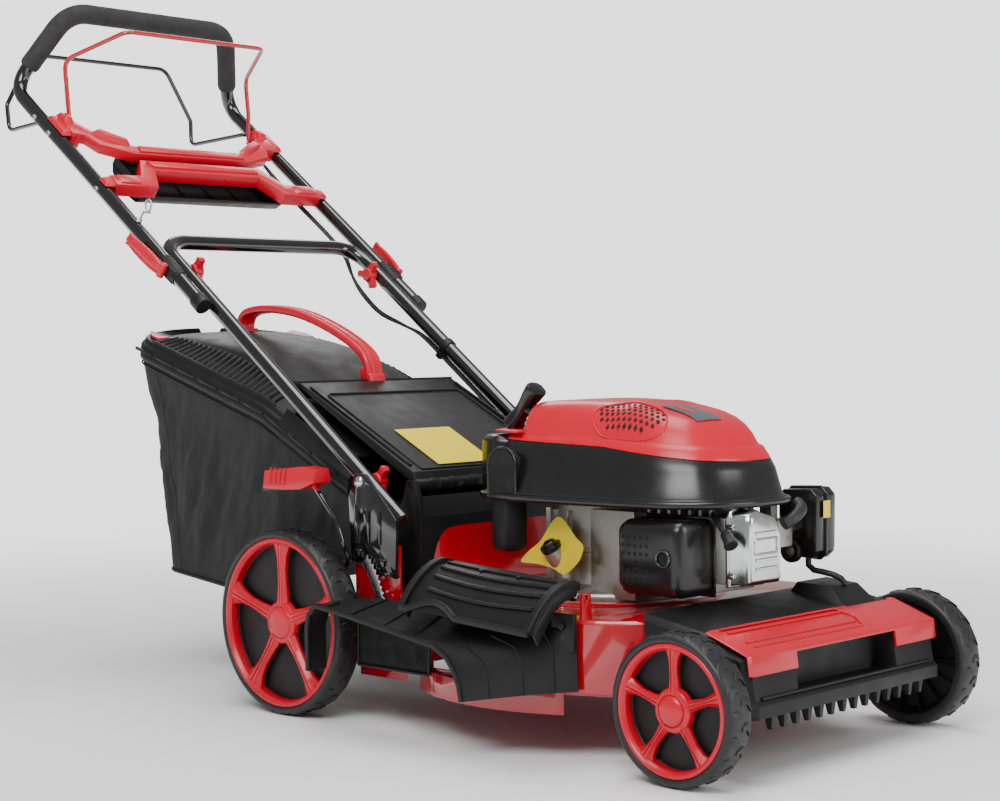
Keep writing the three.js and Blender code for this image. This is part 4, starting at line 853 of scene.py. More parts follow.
def make_cloth():
    """The cloth: sides and rear hang from the rim to a stiff hem, sag between, and fold at the corners."""
    across, down = 260, 64
    depth = sizes().fold / MM
    rows, places = [], []
    for r in range(down + 1):
        v = r / down
        row, place = [], []
        for c in range(across + 1):
            x, y, d, (nx, ny) = cloth_plan(c / across)
            top = rim_height(x) + 6
            # the rear wall leans in towards the bottom
            lean = 76 * max(0.0, (x + 696) / (BAG_REAR + 696)) ** 2.2
            bx = x + lean * v
            bottom = bag_bottom(bx)
            z = top + (bottom - top) * v
            taut = math.sin(math.pi * v) ** 0.8
            near_front = min(1.0, max(0.0, (BAG_FRONT - x) / 70))
            folds = noise.fractal(Vector((d / 80 + z / 150, z / 190 - d / 380, 3.1)), 0.9, 2.0, 4)
            creases = noise.noise(Vector((d / 30 + z / 48, z / 120, 8.4)))
            slack = -6.5 * taut + depth * taut * folds * 1.7 + 2.2 * creases * taut
            slack *= near_front
            slack = min(slack, 4.0)
            row.append((bx + nx * slack, y + ny * slack - math.copysign(6, y) * v * abs(ny), z))
            place.append((d * MM, z * MM))
        rows.append(row)
        places.append(place)
    hem = rows[-1]
    floor_rows = [hem]
    centre = [(x, 0.0, z) for x, y, z in hem]
    steps = 14
    for k in range(1, steps + 1):
        t = k / steps
        sag = math.sin(math.pi * t / 2)
        floor_rows.append([(a[0], a[1] * (1 - t), max(161.5, bag_bottom(a[0])) + 1.5 * sag)
                           for a, _ in zip(hem, centre)])
    thing = mesh_object("bag_cloth", [surface(rows)], at)
    layer = thing.data.uv_layers.new(name="cloth")
    flat = [place for row in places for place in row]
    for loop in thing.data.loops:
        layer.data[loop.index].uv = flat[loop.vertex_index]
    wall = thing.modifiers.new("thickness", "SOLIDIFY")
    wall.thickness = 0.8 * MM
    wall.offset = 0
    settle(thing)
    shade(thing, 70)
    dress(thing, "grass_bag", "mesh_fabric", ("bag_body",))
    bottom = mesh_object("bag_floor", [surface(floor_rows)], at)
    layer = bottom.data.uv_layers.new(name="cloth")
    for loop in bottom.data.loops:
        point = bottom.data.vertices[loop.vertex_index].co
        layer.data[loop.index].uv = (point.x, point.y)
    wall = bottom.modifiers.new("thickness", "SOLIDIFY")
    wall.thickness = 1.0 * MM
    wall.offset = 0
    settle(bottom)
    shade(bottom, 70)
    dress(bottom, "grass_bag", "mesh_fabric")

    def lift(row):
        return [at(*point) for point in row]

    wire("bag_hem", [lift(hem)], "grass_bag", "black_plastic", 3.4, 10)
    wire("bag_top_piping", [lift([(x, y * 1.004, z - 13) for x, y, z in rows[0]])], "grass_bag",
         "black_plastic", 1.6)
    corner_columns = [int(across * s) for s in (0.335, 0.665)]
    wire("bag_corner_seams", [lift([rows[r][c] for r in range(down + 1)]) for c in corner_columns],
         "grass_bag",
         "black_plastic", 1.3)


LID_HALF = 200.0


def lid_crown(x):
    """Height of the lid's middle along its length."""
    knots = [(-1288, 556), (-1276, 572), (-1250, 581), (-1180, 584), (-1060, 569), (-962, 543), (-878, 502),
             (-780, 450), (-696, 406)]
    for (x0, z0), (x1, z1) in zip(knots, knots[1:]):
        if x <= x1:
            t = (x - x0) / (x1 - x0)
            return z0 + (z1 - z0) * max(0.0, t)
    return knots[-1][1]


def lid_outline(x):
    """Half width of the lid, which rounds off at its rear."""
    start = -1206.0
    if x > start:
        return LID_HALF
    t = min(1.0, (start - x) / 82.0)
    return LID_HALF * max(0.02, (1 - t ** 2.6)) ** 0.5


def make_lid():
    """The crowned lid: a rim band, a stepped shoulder that holds the slats and a smooth crown."""
    rows = []
    xs = [-1287.6, -1285, -1279, -1268, -1252, -1232, -1206, -1170, -1120, -1060, -1000, -950, -905, -878,
          -850]
    for x in xs:
        half = lid_outline(x)
        rim = rim_height(x) + 20
        crown = lid_crown(x)
        wide = half / LID_HALF
        rise = max(6.0, crown - rim)
        section = [(1.0, rim - 12), (1.0, rim + 2), (0.975, rim + 6), (0.955, rim + 7), (0.945, rim + 12),
                   (0.925, rim + 15), (0.69, rim + rise * 0.60), (0.665, rim + rise * 0.68), (0.60,
                           rim + rise * 0.80),
                   (0.42, rim + rise * 0.94), (0.21, rim + rise * 0.985), (0.0, rim + rise)]
        full = [(x, -s * LID_HALF * wide, z) for s, z in section] + [(x, s * LID_HALF * wide, z)
                for s, z in section[-2::-1]]
        rows.append(full)
    thing = mesh_object("bag_lid_shell", [surface(rows)], at)
    outward(thing)
    subdivide(thing, 2)
    wall = thing.modifiers.new("thickness", "SOLIDIFY")
    wall.thickness = 3 * MM
    wall.offset = -1
    settle(thing)
    shade(thing, 50)
    dress(thing, "grass_bag", "black_plastic", ("bag_lid",))
    # side cheeks run on beside the flap to the front of the bag
    for name, side in SIDES:
        cheek = []
        for x in (-860, -820, -780, -740, -697):
            rim = rim_height(x) + 20
            crown = lid_crown(x)
            inner = 178
            low_seat = crown - 34
            cheek.append([(x, side * a, z) for a, z in (
                (200, rim - 12), (200, rim + 3), (193, rim + 8), (188, rim + 14), (inner + 3,
                        max(rim + 18, low_seat)),
                (inner, max(rim + 16, low_seat - 3)), (inner, rim - 12))])
        build(f"lid_cheek_{name}", [surface(cheek, closed=True, caps=True)], "grass_bag", "black_plastic",
              edge=1.0)
    # seat under the flap
    seat = [[(x, y, z) for y in (-178, -120, 0, 120, 178)] for x, z in
            ((-697, 384), (-697, 388), (-740, 411), (-800, 443), (-842, 467), (-849, 472), (-852, 500))]
    thing = thickened("flap_seat", [surface(seat)], 3)
    shade(thing)
    dress(thing, "grass_bag", "black_plastic")
    # rim band with its clip strips
    for name, side in SIDES:
        upper, lower = [], []
        for i in range(9):
            x0 = -1236 + i * 58.5
            x1 = x0 + 46
            for chain, drop, out in ((upper, 4.0, 201.4), (lower, 15.0, 200.6)):
                shift = 0 if chain is upper else 26
                ends = [(x0 + shift, rim_height(x0 + shift) + 20 - drop),
                        (x1 + shift, rim_height(x1 + shift) + 20 - drop)]
                if ends[1][0] > -700:
                    continue
                (xa, za), (xb, zb) = ends
                chain.append(hull(*[(px, side * py, pz + dz) for px, pz in ((xa, za), (xb, zb))
                                    for py in (196, out) for dz in (-2.6, 2.6)]))
        build(f"rim_clips_{name}", upper + lower, "grass_bag", "black_plastic", edge=0.8)
    band = []
    for c in range(121):
        x, y, _, (nx, ny) = cloth_plan(c / 120)
        z = rim_height(x)
        band.append([(x + nx * a, y + ny * a, z + b) for a, b in ((-1, 1), (3.5, 1), (4.4, 4), (3.4, 13),
                (-1, 13))])
    build("lid_rim_band", [surface(band, closed=True, caps=True)], "grass_bag", "black_plastic", edge=0.8)
    # slats across the shoulder on both sides
    count = sizes().slats
    for name, side in SIDES:
        slats = []
        for i in range(count):
            x = -1196 + i * (1196 - 892) / (count - 1)
            rim = rim_height(x) + 20
            rise = lid_crown(x) - rim
            a, b = (184, rim + 15.5), (140, rim + rise * 0.60 + 1.5)
            slats.append(hull(*[(x + dx, side * y, z + dz) for y, z in (a, b) for dx, dz in
                                ((-3.2, -1.5), (3.2, -1.5), (-2.6, 2.2), (0.5, 3.4))]))
        build(f"lid_slats_{name}", slats, "grass_bag", "black_smooth", edge=0.5)
        frame_rows = []
        for i in range(25):
            x = -1206 + i * (1206 - 884) / 24
            rim = rim_height(x) + 20
            rise = lid_crown(x) - rim
            frame_rows.append([(x, side * y, z) for y, z in ((187, rim + 13), (187, rim + 18.4),
                    (184.5, rim + 18.6), (184, rim + 13.4))])
        build(f"lid_slat_rail_{name}", [surface(frame_rows, closed=True, caps=True)], "grass_bag",
              "black_plastic", edge=0.6)
    # red inserts at the rear corners
    for name, side in SIDES:
        insert = []
        for x in (-1250, -1238, -1222, -1206):
            rim = rim_height(x) + 20
            rise = lid_crown(x) - rim
            half = lid_outline(x) / LID_HALF
            insert.append([(x, side * y * half, z) for y, z in (
                (176, rim + 16), (176, rim + 21), (150, rim + rise * 0.56 + 4.5), (150, rim + rise * 0.5))])
        build(f"lid_insert_{name}", [surface(insert, closed=True, caps=True)], "grass_bag", "red_plastic",
              edge=1.0)


def make_bag_handle():
    """Red arched handle: a wide web with three raised lines along it."""
    top = flowing([(-1184, 0, 566), (-1188, 0, 592), (-1178, 0, 611), (-1150, 0, 619), (-1100, 0, 620),
                   (-1030, 0, 610),
                   (-960, 0, 588), (-900, 0, 561), (-866, 0, 538), (-856, 0, 515), (-855, 0, 486)], 6)
    web = [(a, b) for a, b in ((-14, -4), (-14, 3), (-12, 5), (-8.4, 5), (-7.6, 2.6), (-5.4, 2.6),
            (-4.6, 5), (4.6, 5), (5.4, 2.6),
                               (7.6, 2.6), (8.4, 5), (12, 5), (14, 3), (14, -4), (10, -6), (-10, -6))]
    build("bag_handle_arch", [tube(top, 1.22, section=web)], "grass_bag", "red_plastic", edge=0.7,
          replaces=("bag_handle",))
    feet = [hull(*[(x, y, z) for y in (-17, 17) for x, z in ((-1196, 586), (-1172, 588), (-1176, 566),
            (-1200, 566))]),
            hull(*[(x, y, z) for y in (-17, 17) for x, z in ((-870, 520), (-844, 506), (-844, 484),
                    (-870, 490))])]
    build("bag_handle_feet", feet, "grass_bag", "red_plastic", edge=2.0)


class MOWER_OT_bag(bpy.types.Operator):
    """Grass bag: hanging mesh cloth, crowned lid with slats and rim clips, and a red arched handle"""
    bl_idname = "mower.bag"
    bl_label = "Grass bag"

    def execute(self, context):
        make_cloth()
        make_lid()
        make_bag_handle()
        return {"FINISHED"}


# ---- folding handle -----------------------------------------------------------------------------
TUBE_R, FOAM_R, WIRE_R = 12.5, 17.5, 4.0
LOWER_HALF, UPPER_HALF = 215.0, 240.3
FOLD_AT = (FOLD - BOLT).length / MM
GRIP_CORNERS = [(452, -UPPER_HALF, 0), (1123, -UPPER_HALF, 0), (1137, -176, 152), (1137, 176, 152),
                (1123, UPPER_HALF, 0), (452, UPPER_HALF, 0)]
GRIP_BENDS = [48, 62, 62, 48]


def mirrored(half):
    return half + [(a, -y, n) for a, y, n in half[::-1]]


def make_tubes():
    lower = path([(-92, -LOWER_HALF, 0), (632, -LOWER_HALF, 0), (632, LOWER_HALF, 0), (-92, LOWER_HALF, 0)],
                 55, 14)
    build("lower_tubes", [tube(lower, TUBE_R, 28)], "lower_handle", "black_paint", place=on_handle,
          replaces=("lower_handle",), angle=50)
    caps = [bar((-93.5, s * LOWER_HALF, 0), (-86, s * LOWER_HALF, 0), TUBE_R - 1.4, 28, round_by=1.5)
            for _, s in SIDES]
    build("tube_plugs", caps, "lower_handle", "black_plastic", place=on_handle)
    upper = path(GRIP_CORNERS, GRIP_BENDS, 14)
    build("upper_tubes", [tube(upper, TUBE_R, 28)], "upper_handle", "black_paint", place=on_handle,
          replaces=("upper_handle",), angle=50)
    collars = [bar((446, s * UPPER_HALF, 0), (468, s * UPPER_HALF, 0), TUBE_R + 1.8, 28) for _, s in SIDES]
    build("tube_collars", collars, "upper_handle", "black_plastic", place=on_handle, edge=0.8)
    grip = upper[15:-15]
    first = grip[0].lerp(upper[14], 0.2)
    grip = [first, *grip[1:-1], Vector((first.x, -first.y, first.z))]
    finer = []
    for a, b in zip(grip, grip[1:]):
        steps = max(1, int((b - a).length / 6))
        finer += [a.lerp(b, k / steps) for k in range(steps)]
    finer.append(grip[-1])

    def soft(t):
        end = 2.2 if t in (0.0, 1.0) else 0.0
        return FOAM_R - end + 0.35 * noise.noise(Vector((t * 40, 0, 0)))

    build("foam_sleeve", [tube(finer, soft, 32)], "upper_handle", "foam", place=on_handle,
          replaces=("foam_grip",), angle=60)


def make_bails():
    brake = path(mirrored([(984, -222, 4), (984, -200, 4), (1016, -203, 44), (1063, -203, 94),
            (995, -152, 197)]),
                 [7, 20, 24, 22, 22, 24, 20, 7], 8)
    build("brake_bail_rod", [tube(brake, WIRE_R, 16)], "brake_bail", "red_paint", place=on_handle,
          replaces=("brake_bail",), angle=60)
    drive = path(mirrored([(1019, -239, 0), (1019, -212, 0), (1139, -206, -100), (1170, -208, -64),
            (1233, -152, 11)]),
                 [7, 16, 12, 30, 30, 12, 16, 7], 8)
    build("drive_bail_rod", [tube(drive, WIRE_R, 16)], "drive_bail", "black_paint", place=on_handle,
          replaces=("drive_bail",), angle=60)


def make_console():
    """Two red bars across the tubes, stepped at their ends, with a hollow black tray between them."""
    wide = UPPER_HALF - TUBE_R - 1
    half = [(990, wide), (936, wide), (931, 201), (903, 187), (880, 128)]
    inner = [(906, 118), (944, 176), (972, 200), (990, 207)]
    loop = half + [(a, -y) for a, y in half[::-1]] + [(a, -y) for a, y in inner[::-1]] + inner
    parts = [prism(loop, 2, 22)]
    for _, s in SIDES:
        parts.append(hull(*[(a, s * y, n) for a in (934, 998) for y in (207, wide - 0.5)
                            for n in (-7, 19)]))
        parts.append(hull(*[(a, s * y, n) for a, y, n in (
            (936, 224, 13.4), (996, 224, 13.4), (936, 246, 13.4), (996, 246, 13.4), (940, 224, 21), (992,
                    224, 21),
            (940, 243, 21), (992, 243, 21))]))
        # rounded hood over the bail's eye, and a raised step next to it
        parts.append(hull(*[(a, s * y, n) for a, y, n in (
            (968, 206, 20), (1000, 206, 16), (1000, 228, 16), (968, 228, 20), (974, 210, 30), (994, 210,
                    28),
            (994, 224, 28), (974, 224, 30))]))
        parts.append(hull(*[(a, s * y, n) for a, y, n in (
            (912, 120, 21), (950, 176, 21), (938, 192, 21), (898, 132, 21), (914, 130, 31), (942, 172, 31),
            (934, 182, 31), (906, 138, 31))]))
    parts.append(prism([(884, -116), (884, 116), (902, 112), (902, -112)], 21.5, 26))
    build("console_rear_bar", parts, "upper_handle", "red_plastic", 1.4, on_handle, ("console_top",))
    parts = [prism([(772, wide), (802, wide), (806, 160), (858, 132), (858, -132), (806, -160),
                    (802, -wide), (772, -wide),
                    (772, -142), (826, -118), (826, 118), (772, 142)], -2, 22)]
    for _, s in SIDES:
        parts.append(hull(*[(a, s * y, n) for a, y, n in (
            (774, 224, 13.4), (802, 224, 13.4), (776, 248, 13.4), (800, 248, 13.4), (776, 224, 21), (800,
                    224, 21),
            (780, 244, 20), (796, 244, 20))]))
        parts.append(hull(*[(a, s * y, n) for a in (776, 799)
                            for y, n in ((168, 21), (222, 21), (180, 25.5), (214, 25.5))]))
    parts.append(prism([(834, -116), (834, 116), (852, 124), (852, -124)], 21.5, 25.5))
    build("console_front_bar", parts, "upper_handle", "red_plastic", 1.4, on_handle, ("console_bottom",))
    sag = [(903.5, 1.4), (902, -14), (893, -27), (872, -35.5), (840, -37), (806, -33), (790, -22),
           (781, -7)]
    inside = [(787, -7.5), (795, -19), (810, -28.5), (840, -32.5), (870, -31), (888, -23.5), (897, -12),
              (898.6, 1.4)]
    outline = sag + inside
    parts = [prism(outline, -150, 150, "y")]
    for _, s in SIDES:
        parts.append(prism(sag, *sorted((s * 146.5, s * 150)), "y"))
    for y in (-88, -30, 30, 88):
        parts.append(prism([(a, n + 0.6) for a, n in inside[1:-1]] + [(876, -27.5), (840, -29.5),
                (812, -25)], y - 1, y + 1, "y"))
    build("console_bin", parts, "upper_handle", "black_plastic", 0.8, on_handle, ("console_tray",))


def wing_parts(along, side, inner):
    lobes = []
    for i in range(3):
        turn = math.radians(90 + 120 * i)
        ring = []
        for reach, across in ((8, 8.5), (17, 5.2), (24, 6.4), (26.5, 0), (24, -6.4), (17, -5.2), (8, -8.5)):
            ring.append((along + reach * math.cos(turn) - across * math.sin(turn),
                         reach * math.sin(turn) + across * math.cos(turn)))
        y0, y1 = sorted((side * (inner - 15.5), side * (inner - 4)))
        lobes.append(prism(ring, y0, y1, "y"))
    hub = bar((along, side * (inner - 19), 0), (along, side * (inner - 0.4), 0), 12, 32, round_by=2.0)
    return lobes + [hub]


def make_fasteners():
    inner = LOWER_HALF - TUBE_R
    for name, side in SIDES:
        build(f"lower_wing_{name}", wing_parts(0, side, inner), f"wing_knob_lower_{name}", "red_plastic",
              1.2, on_handle,
              (f"wing_knob_lower_{name}",))
        build(f"upper_wing_{name}", wing_parts(FOLD_AT, side, inner), f"wing_knob_upper_{name}",
              "red_plastic", 1.2,
              on_handle, (f"wing_knob_upper_{name}",))
        out = 232.0
        head = [(r, side * h) for r, h in ((0.01, 0), (9, 0), (9, 1.2), (8.4, 2.4), (6.8, 4.0), (4.4, 5.2),
                (0.01, 5.8))]
        build(f"lower_bolt_{name}", [turned(head, (0, side * (out + 0.3), 0), "y", 28)],
              f"wing_knob_lower_{name}", "zinc_steel",
              place=on_handle)
        build(f"fold_bolt_{name}", [bar((FOLD_AT, side * (inner - 14), 0), (FOLD_AT, side * 261, 0), 4,
                16)],
              f"wing_knob_upper_{name}", "zinc_steel", place=on_handle)
        # cam lever: forked, curved and grooved, over a black saddle on the tube
        seat = UPPER_HALF + TUBE_R
        f = FOLD_AT
        spine = [(f - 4, seat + 8, 0), (f + 18, seat + 13, 0), (f + 44, seat + 16, 0),
                 (f + 70, seat + 19, 0), (f + 92, seat + 20, 0)]
        rows = []
        for i, point in enumerate(flowing([(a, side * y, n) for a, y, n in spine], 5)):
            t = i / 20
            high = 9.5 + 3.2 * math.sin(math.pi * min(1, t * 1.1)) + (1.5 if t > 0.9 else 0)
            thick = 7.0 - 2.0 * t
            rows.append([(point.x, point.y + side * thick * a, high * b) for a, b in (
                (-0.5, -1), (-0.7, -0.5), (-0.7, 0.5), (-0.5, 1), (0.5, 1), (0.85, 0.72), (0.55,
                        0.5), (0.95, 0.3), (1.0, 0),
                (0.95, -0.3), (0.55, -0.5), (0.85, -0.72), (0.5, -1))])
        parts = [surface(rows, closed=True, caps=True),
                 bar((f, side * (seat + 9), -12.5), (f, side * (seat + 9), 12.5), 6.2, 24)]
        build(f"cam_grip_{name}", parts, f"cam_lever_{name}", "red_plastic", 0.9, on_handle,
              (f"cam_lever_{name}",))
        saddle = [hull(*[(f + a, side * y, n) for a, y, n in (
            (-24, seat - 2, -12), (24, seat - 2, -12), (-24, seat - 2, 12), (24, seat - 2, 12), (-15,
                    seat + 2.4, -9.5),
            (15, seat + 2.4, -9.5), (-15, seat + 2.4, 9.5), (15, seat + 2.4, 9.5))]),
            bar((f - 26, side * UPPER_HALF, 0), (f + 26, side * UPPER_HALF, 0), TUBE_R + 1.6, 28)]
        build(f"cam_saddle_{name}", saddle, "upper_handle", "black_plastic", 0.8, on_handle)
    guide = 672
    points = [(guide, -UPPER_HALF + 2, TUBE_R + 2), (guide, -UPPER_HALF + 2, TUBE_R + 20)]
    for i in range(23):
        turn = math.radians(-90 + 18 * i)
        points.append((guide + 11 * math.cos(turn) * -1, -UPPER_HALF + 2 + 0.45 * i,
                       TUBE_R + 31 + 11 * math.sin(turn)))
    parts = [tube(points, 1.8, 12), bar((guide, -UPPER_HALF, TUBE_R), (guide, -UPPER_HALF, TUBE_R + 5), 6,
            6)]
    build("rope_pigtail", parts, "upper_handle", "zinc_steel", 0.0, on_handle, ("rope_guide",), angle=50)
    # screws through the console's ends and the tubes
    screws = [bar((a, side * (UPPER_HALF + TUBE_R - 2), 0), (a, side * (UPPER_HALF + TUBE_R + 3), 0), 5, 6)
              for a in (790, 966, 1019) for _, side in SIDES]
    build("tube_screws", screws, "upper_handle", "zinc_steel", 0.5, on_handle)


BRAKE_CABLE = [(930, 212, -14), (880, 211, -18), (800, 210, -19), (700, 210, -18), (640, 209, -22),
               (600, 205, -34),
               (560, 204, -42), (500, 204, -44), (440, 206, -30), (386, 208, -18.5), (300, 208, -18), (200,
                       208, -18),
               (120, 208, -18), (80, 208, -18), (40, 207, -22)]
BRAKE_CABLE_END = [(-664, 206, 334), (-650, 204, 306), (-638, 202, 278), (-622, 200, 257), (-600, 198, 248),
                   (-575, 192, 254), (-549, 177, 272), (-525, 157, 295), (-504, 140, 318), (-491, 131,
                           331.5)]
DRIVE_CABLE = [(940, 220, -18), (880, 218, -19), (800, 217, -19), (700, 217, -19), (640, 216, -24),
               (600, 213, -42),
               (560, 212, -52), (500, 212, -52), (440, 214, -34), (386, 216, -19), (300, 216, -18.5), (200,
                       216, -18.5),
               (120, 216, -18.5), (80, 215, -19), (40, 214, -24)]
DRIVE_CABLE_END = [(-666, 212, 332), (-653, 210, 304), (-642, 207, 276), (-632, 203, 248), (-622, 199, 220),
                   (-616, 197, 204), (-614, 196, 192)]
CLIP_AT = 330
CABLE_SPLIT = 8  # the cable is cut here, midway between its two folds


def make_cables():
    """Each cable is two pieces that meet on the lower handle."""
    for name, run, end in (("brake", BRAKE_CABLE, BRAKE_CABLE_END),
            ("drive", DRIVE_CABLE, DRIVE_CABLE_END)):
        points = [on_handle(*point) for point in run] + [at(*point) for point in end]
        smooth = flowing(points, 8)
        cut = CABLE_SPLIT * 8 + 8
        for label, chain, first, second, start, stop in (
                ("upper", smooth[:cut + 1], "upper_handle", "lower_handle", on_handle(610, 210, -34),
                 on_handle(480, 210, -34)),
                ("lower", smooth[cut:], "lower_handle", "deck", on_handle(70, 210, -18),
                 at(-640, 204, 270))):
            thing = mesh_object(f"{name}_cable_{label}", [tube(chain, 2.6 * MM, 12)], lambda *p: Vector(p))
            outward(thing)
            shade(thing, 60)
            thing.data.materials.append(FINISHES["rubber"])
            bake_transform(thing)
            if label == "upper":
                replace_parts(thing, f"{name}_cable")
    clips = [bar((CLIP_AT - 7, LOWER_HALF, 0), (CLIP_AT + 7, LOWER_HALF, 0), TUBE_R + 2.2, 28),
             hull(*[(CLIP_AT + a, y, n) for a in (-6, 6) for y in (202, 222) for n in (-23, -10)])]
    build("cable_clip", clips, "lower_handle", "black_plastic", 1.0, on_handle)


class MOWER_OT_handle(bpy.types.Operator):
    """Folding handle: painted tubes, foam sleeve, two bails, console, clamps, guide and cables"""
    bl_idname = "mower.handle"
    bl_label = "Handle"

    def execute(self, context):
        make_tubes()
        make_bails()
        make_console()
        make_fasteners()
        make_cables()
        return {"FINISHED"}


# ---- engine -------------------------------------------------------------------------------------
COWL_PLAN = [(-500, -70), (-474, -128), (-410, -151), (-280, -152), (-165, -144), (-92, -110), (-62, -54),
             (-56, 0), (-62, 40),
             (-92, 74), (-140, 92), (-200, 122), (-280, 146), (-410, 152), (-474, 126), (-500, 70), (-505,
                     0)]
COWL_RINGS = [(334, -1), (342, -1), (346, 3), (380, 12), (405, 21), (420, 28), (423, 34), (426, 35.5),
              (442, 42), (456, 51),
              (465, 62), (470, 75), (472, 92), (473, 112)]
COWL_CENTRE = Vector((-270, 0))
GRIP_Y = -76
COWL_TREE = {}
SHAFT_X = -340
NOTCH_X, NOTCH_Y, NOTCH_Z = -404.0, -40.0, 431.0
SEAM = ((-520, 420), (-250, 411), (0, 384))
LEDGE_DROP = ((-520, 0), (-232, 0), (-60, -34), (0, -58))


def between(knots, x):
    for (x0, z0), (x1, z1) in zip(knots, knots[1:]):
        if x <= x1 or (x1, z1) == knots[-1]:
            return z0 + (z1 - z0) * (x - x0) / (x1 - x0)


def closed_curve(points, steps):
    result = []
    count = len(points)
    for i in range(count):
        a, b, c, d = (Vector(points[(i + k) % count]) for k in (-1, 0, 1, 2))
        for k in range(steps):
            t = k / steps
            bend = (2 * a - 5 * b + 4 * c - d) * t * t
            result.append(0.5 * (2 * b + (c - a) * t + bend + (3 * b - a - 3 * c + d) * t ** 3))
    return result


def cowl_point(plan, height, inset):
    """A point of the cowl: drawn in by the inset towards the middle, and lowered towards the front."""
    way = plan - COWL_CENTRE
    reach = max(0.0, way.length - inset * 1.12)
    spot = COWL_CENTRE + way.normalized() * reach
    if height > 384:
        share = (height - 384) / (474 - 384)
        height += between(LEDGE_DROP, spot.x) * share
    return spot.x, spot.y, height


def cowl_height(x, y):
    """Height of the cowl's upper surface straight below a point."""
    hit = COWL_TREE["lid"].ray_cast(at(x, y, 600), Vector((0, 0, -1)))[0]
    return hit.z / MM if hit else NOTCH_Z


def make_cowl():
    """Domed shell over the engine, parted along the seam into a red lid and a black skirt."""
    plan = closed_curve(COWL_PLAN, 8)
    rows = [[cowl_point(p, h, i) for p in plan] for h, i in COWL_RINGS]
    shell = mesh_object("cowl_shell", [surface(rows, closed=True)], at)
    outward(shell)
    for label, finish, above, nodes in (("cowl_lid", "red_plastic", True, ("cowl_top",)),
            ("cowl_skirt", "black_smooth", False, ("cowl_base",))):
        work = bmesh.new()
        work.from_mesh(shell.data)
        if above:
            top = [v for v in work.verts if v.is_boundary and v.co.z > 0.43]
            hub = at(*COWL_CENTRE, 0)
            work.faces.new(sorted(top, key=lambda v: math.atan2(v.co.y - hub.y, v.co.x - hub.x)))
        for (x0, z0), (x1, z1) in zip(SEAM, SEAM[1:]):
            normal = Vector((z0 - z1, 0, x1 - x0)).normalized()
            gap = 0.5 if above else -0.5
            bmesh.ops.bisect_plane(work, geom=work.verts[:] + work.edges[:] + work.faces[:],
                    plane_co=at(x0, 0, z0 + gap), plane_no=normal)

        def high(face):
            centre = face.calc_center_median()
            x = (centre.x - AXLE.x) / MM
            return centre.z / MM > between(SEAM, x) + (0.5 if above else -0.5)

        bmesh.ops.delete(work, geom=[f for f in work.faces if high(f) != above], context="FACES")
        mesh = bpy.data.meshes.new(label)
        work.to_mesh(mesh)
        if above:
            COWL_TREE["lid"] = BVHTree.FromBMesh(work)
        work.free()
        thing = bpy.data.objects.new(label, mesh)
        bpy.context.scene.collection.objects.link(thing)
        outward(thing)
        wall = thing.modifiers.new("wall", "SOLIDIFY")
        wall.thickness = 3.2 * MM
        wall.offset = -1
        settle(thing)
        if above:
            tool = mesh_object("notch_tool", [block(-530, NOTCH_X, -180, NOTCH_Y, NOTCH_Z, 540)], at)
            notch = thing.modifiers.new("notch", "BOOLEAN")
            notch.operation = "DIFFERENCE"
            notch.object = tool
            settle(thing)
            bpy.data.objects.remove(tool)
        ease_edges(thing, 0.7, 2, 50)
        shade(thing, 42)
        dress(thing, "deck", finish, nodes)
    bpy.data.objects.remove(shell)


def make_notch():
    """Floor and walls of the notch round the starter grip."""
    floor = prism([(-489, NOTCH_Y + 2), (-488, -70), (-465, -116), (NOTCH_X, -134),
                   (NOTCH_X + 2, NOTCH_Y + 2)], NOTCH_Z - 4, NOTCH_Z - 0.6)
    across = [(NOTCH_X + 1.5, NOTCH_Y - 98 * k / 16) for k in range(17)]
    inward = [(NOTCH_X - 86 * k / 16, NOTCH_Y + 1.5) for k in range(17)]
    walls = [surface([[(x, y, NOTCH_Z - 3) for x, y in line],
                      [(x, y, max(NOTCH_Z - 2, cowl_height(x, y) - 0.8)) for x, y in line]])
             for line in (across, inward)]
    thing = thickened("notch_walls", walls, 2.4, 0)
    dress(thing, "deck", "red_plastic")
    build("notch_floor", [floor], "deck", "red_plastic", 0.6)


def make_skirt_details():
    """Flange under the skirt, the starter's housing, the leg behind it and its arch."""
    plan = closed_curve(COWL_PLAN, 8)
    flange = [[cowl_point(p, h, i)[:2] + (h,) for p in plan]
              for h, i in ((331, 6), (331, -6), (334, -8.5), (339, -8.5), (341, -6), (341, 4))]
    build("cowl_flange", [surface(flange, closed=True)], "deck", "black_smooth", 0.8)
    housing = [hull(*[(x, y, z) for x, y in ((-506, -62), (-498, -112), (-452, -134), (-428, -120),
            (-428, -62)) for z in (342, 416)]
                    + [(-498, -68, 423), (-491, -108, 423), (-452, -127, 423), (-436, -70, 423)])]
    build("starter_housing", housing, "deck", "black_smooth", 4.0)
    leg = [hull(*[(x, y, z) for x, y in ((-452, -120), (-446, -146), (-412, -152), (-398, -120))
                  for z in (262, 334)]
                + [(-446, -124, 256), (-442, -142, 256), (-414, -147, 256), (-404, -124, 256)])]
    build("cowl_leg", leg, "deck", "black_plastic", 4.0)
    arch_x, arch_z = -418, 382
    hood = [(arch_x + 25 * math.cos(t), arch_z + 22 * math.sin(t))
            for t in (math.pi * i / 14 for i in range(15))]
    hood = [(-393, 336), *hood, (-443, 336)]
    # painted shade: a near-black block fills the arch where its inside lies in shade
    build("cowl_arch_dark", [prism(hood, -153.5, -137, "y")], "deck", "painted_shade", 0.6)
    rim = [(arch_x + 27.5 * math.cos(t), -153 + 3 * math.sin(t), arch_z + 24.5 * math.sin(t))
           for t in (math.pi * k / 16 for k in range(17))]
    rim = [(-391, -152, 338), *rim, (-445, -152, 338)]
    build("cowl_arch_rim", [tube(rim, 2.2, 10)], "deck", "black_smooth", angle=60)


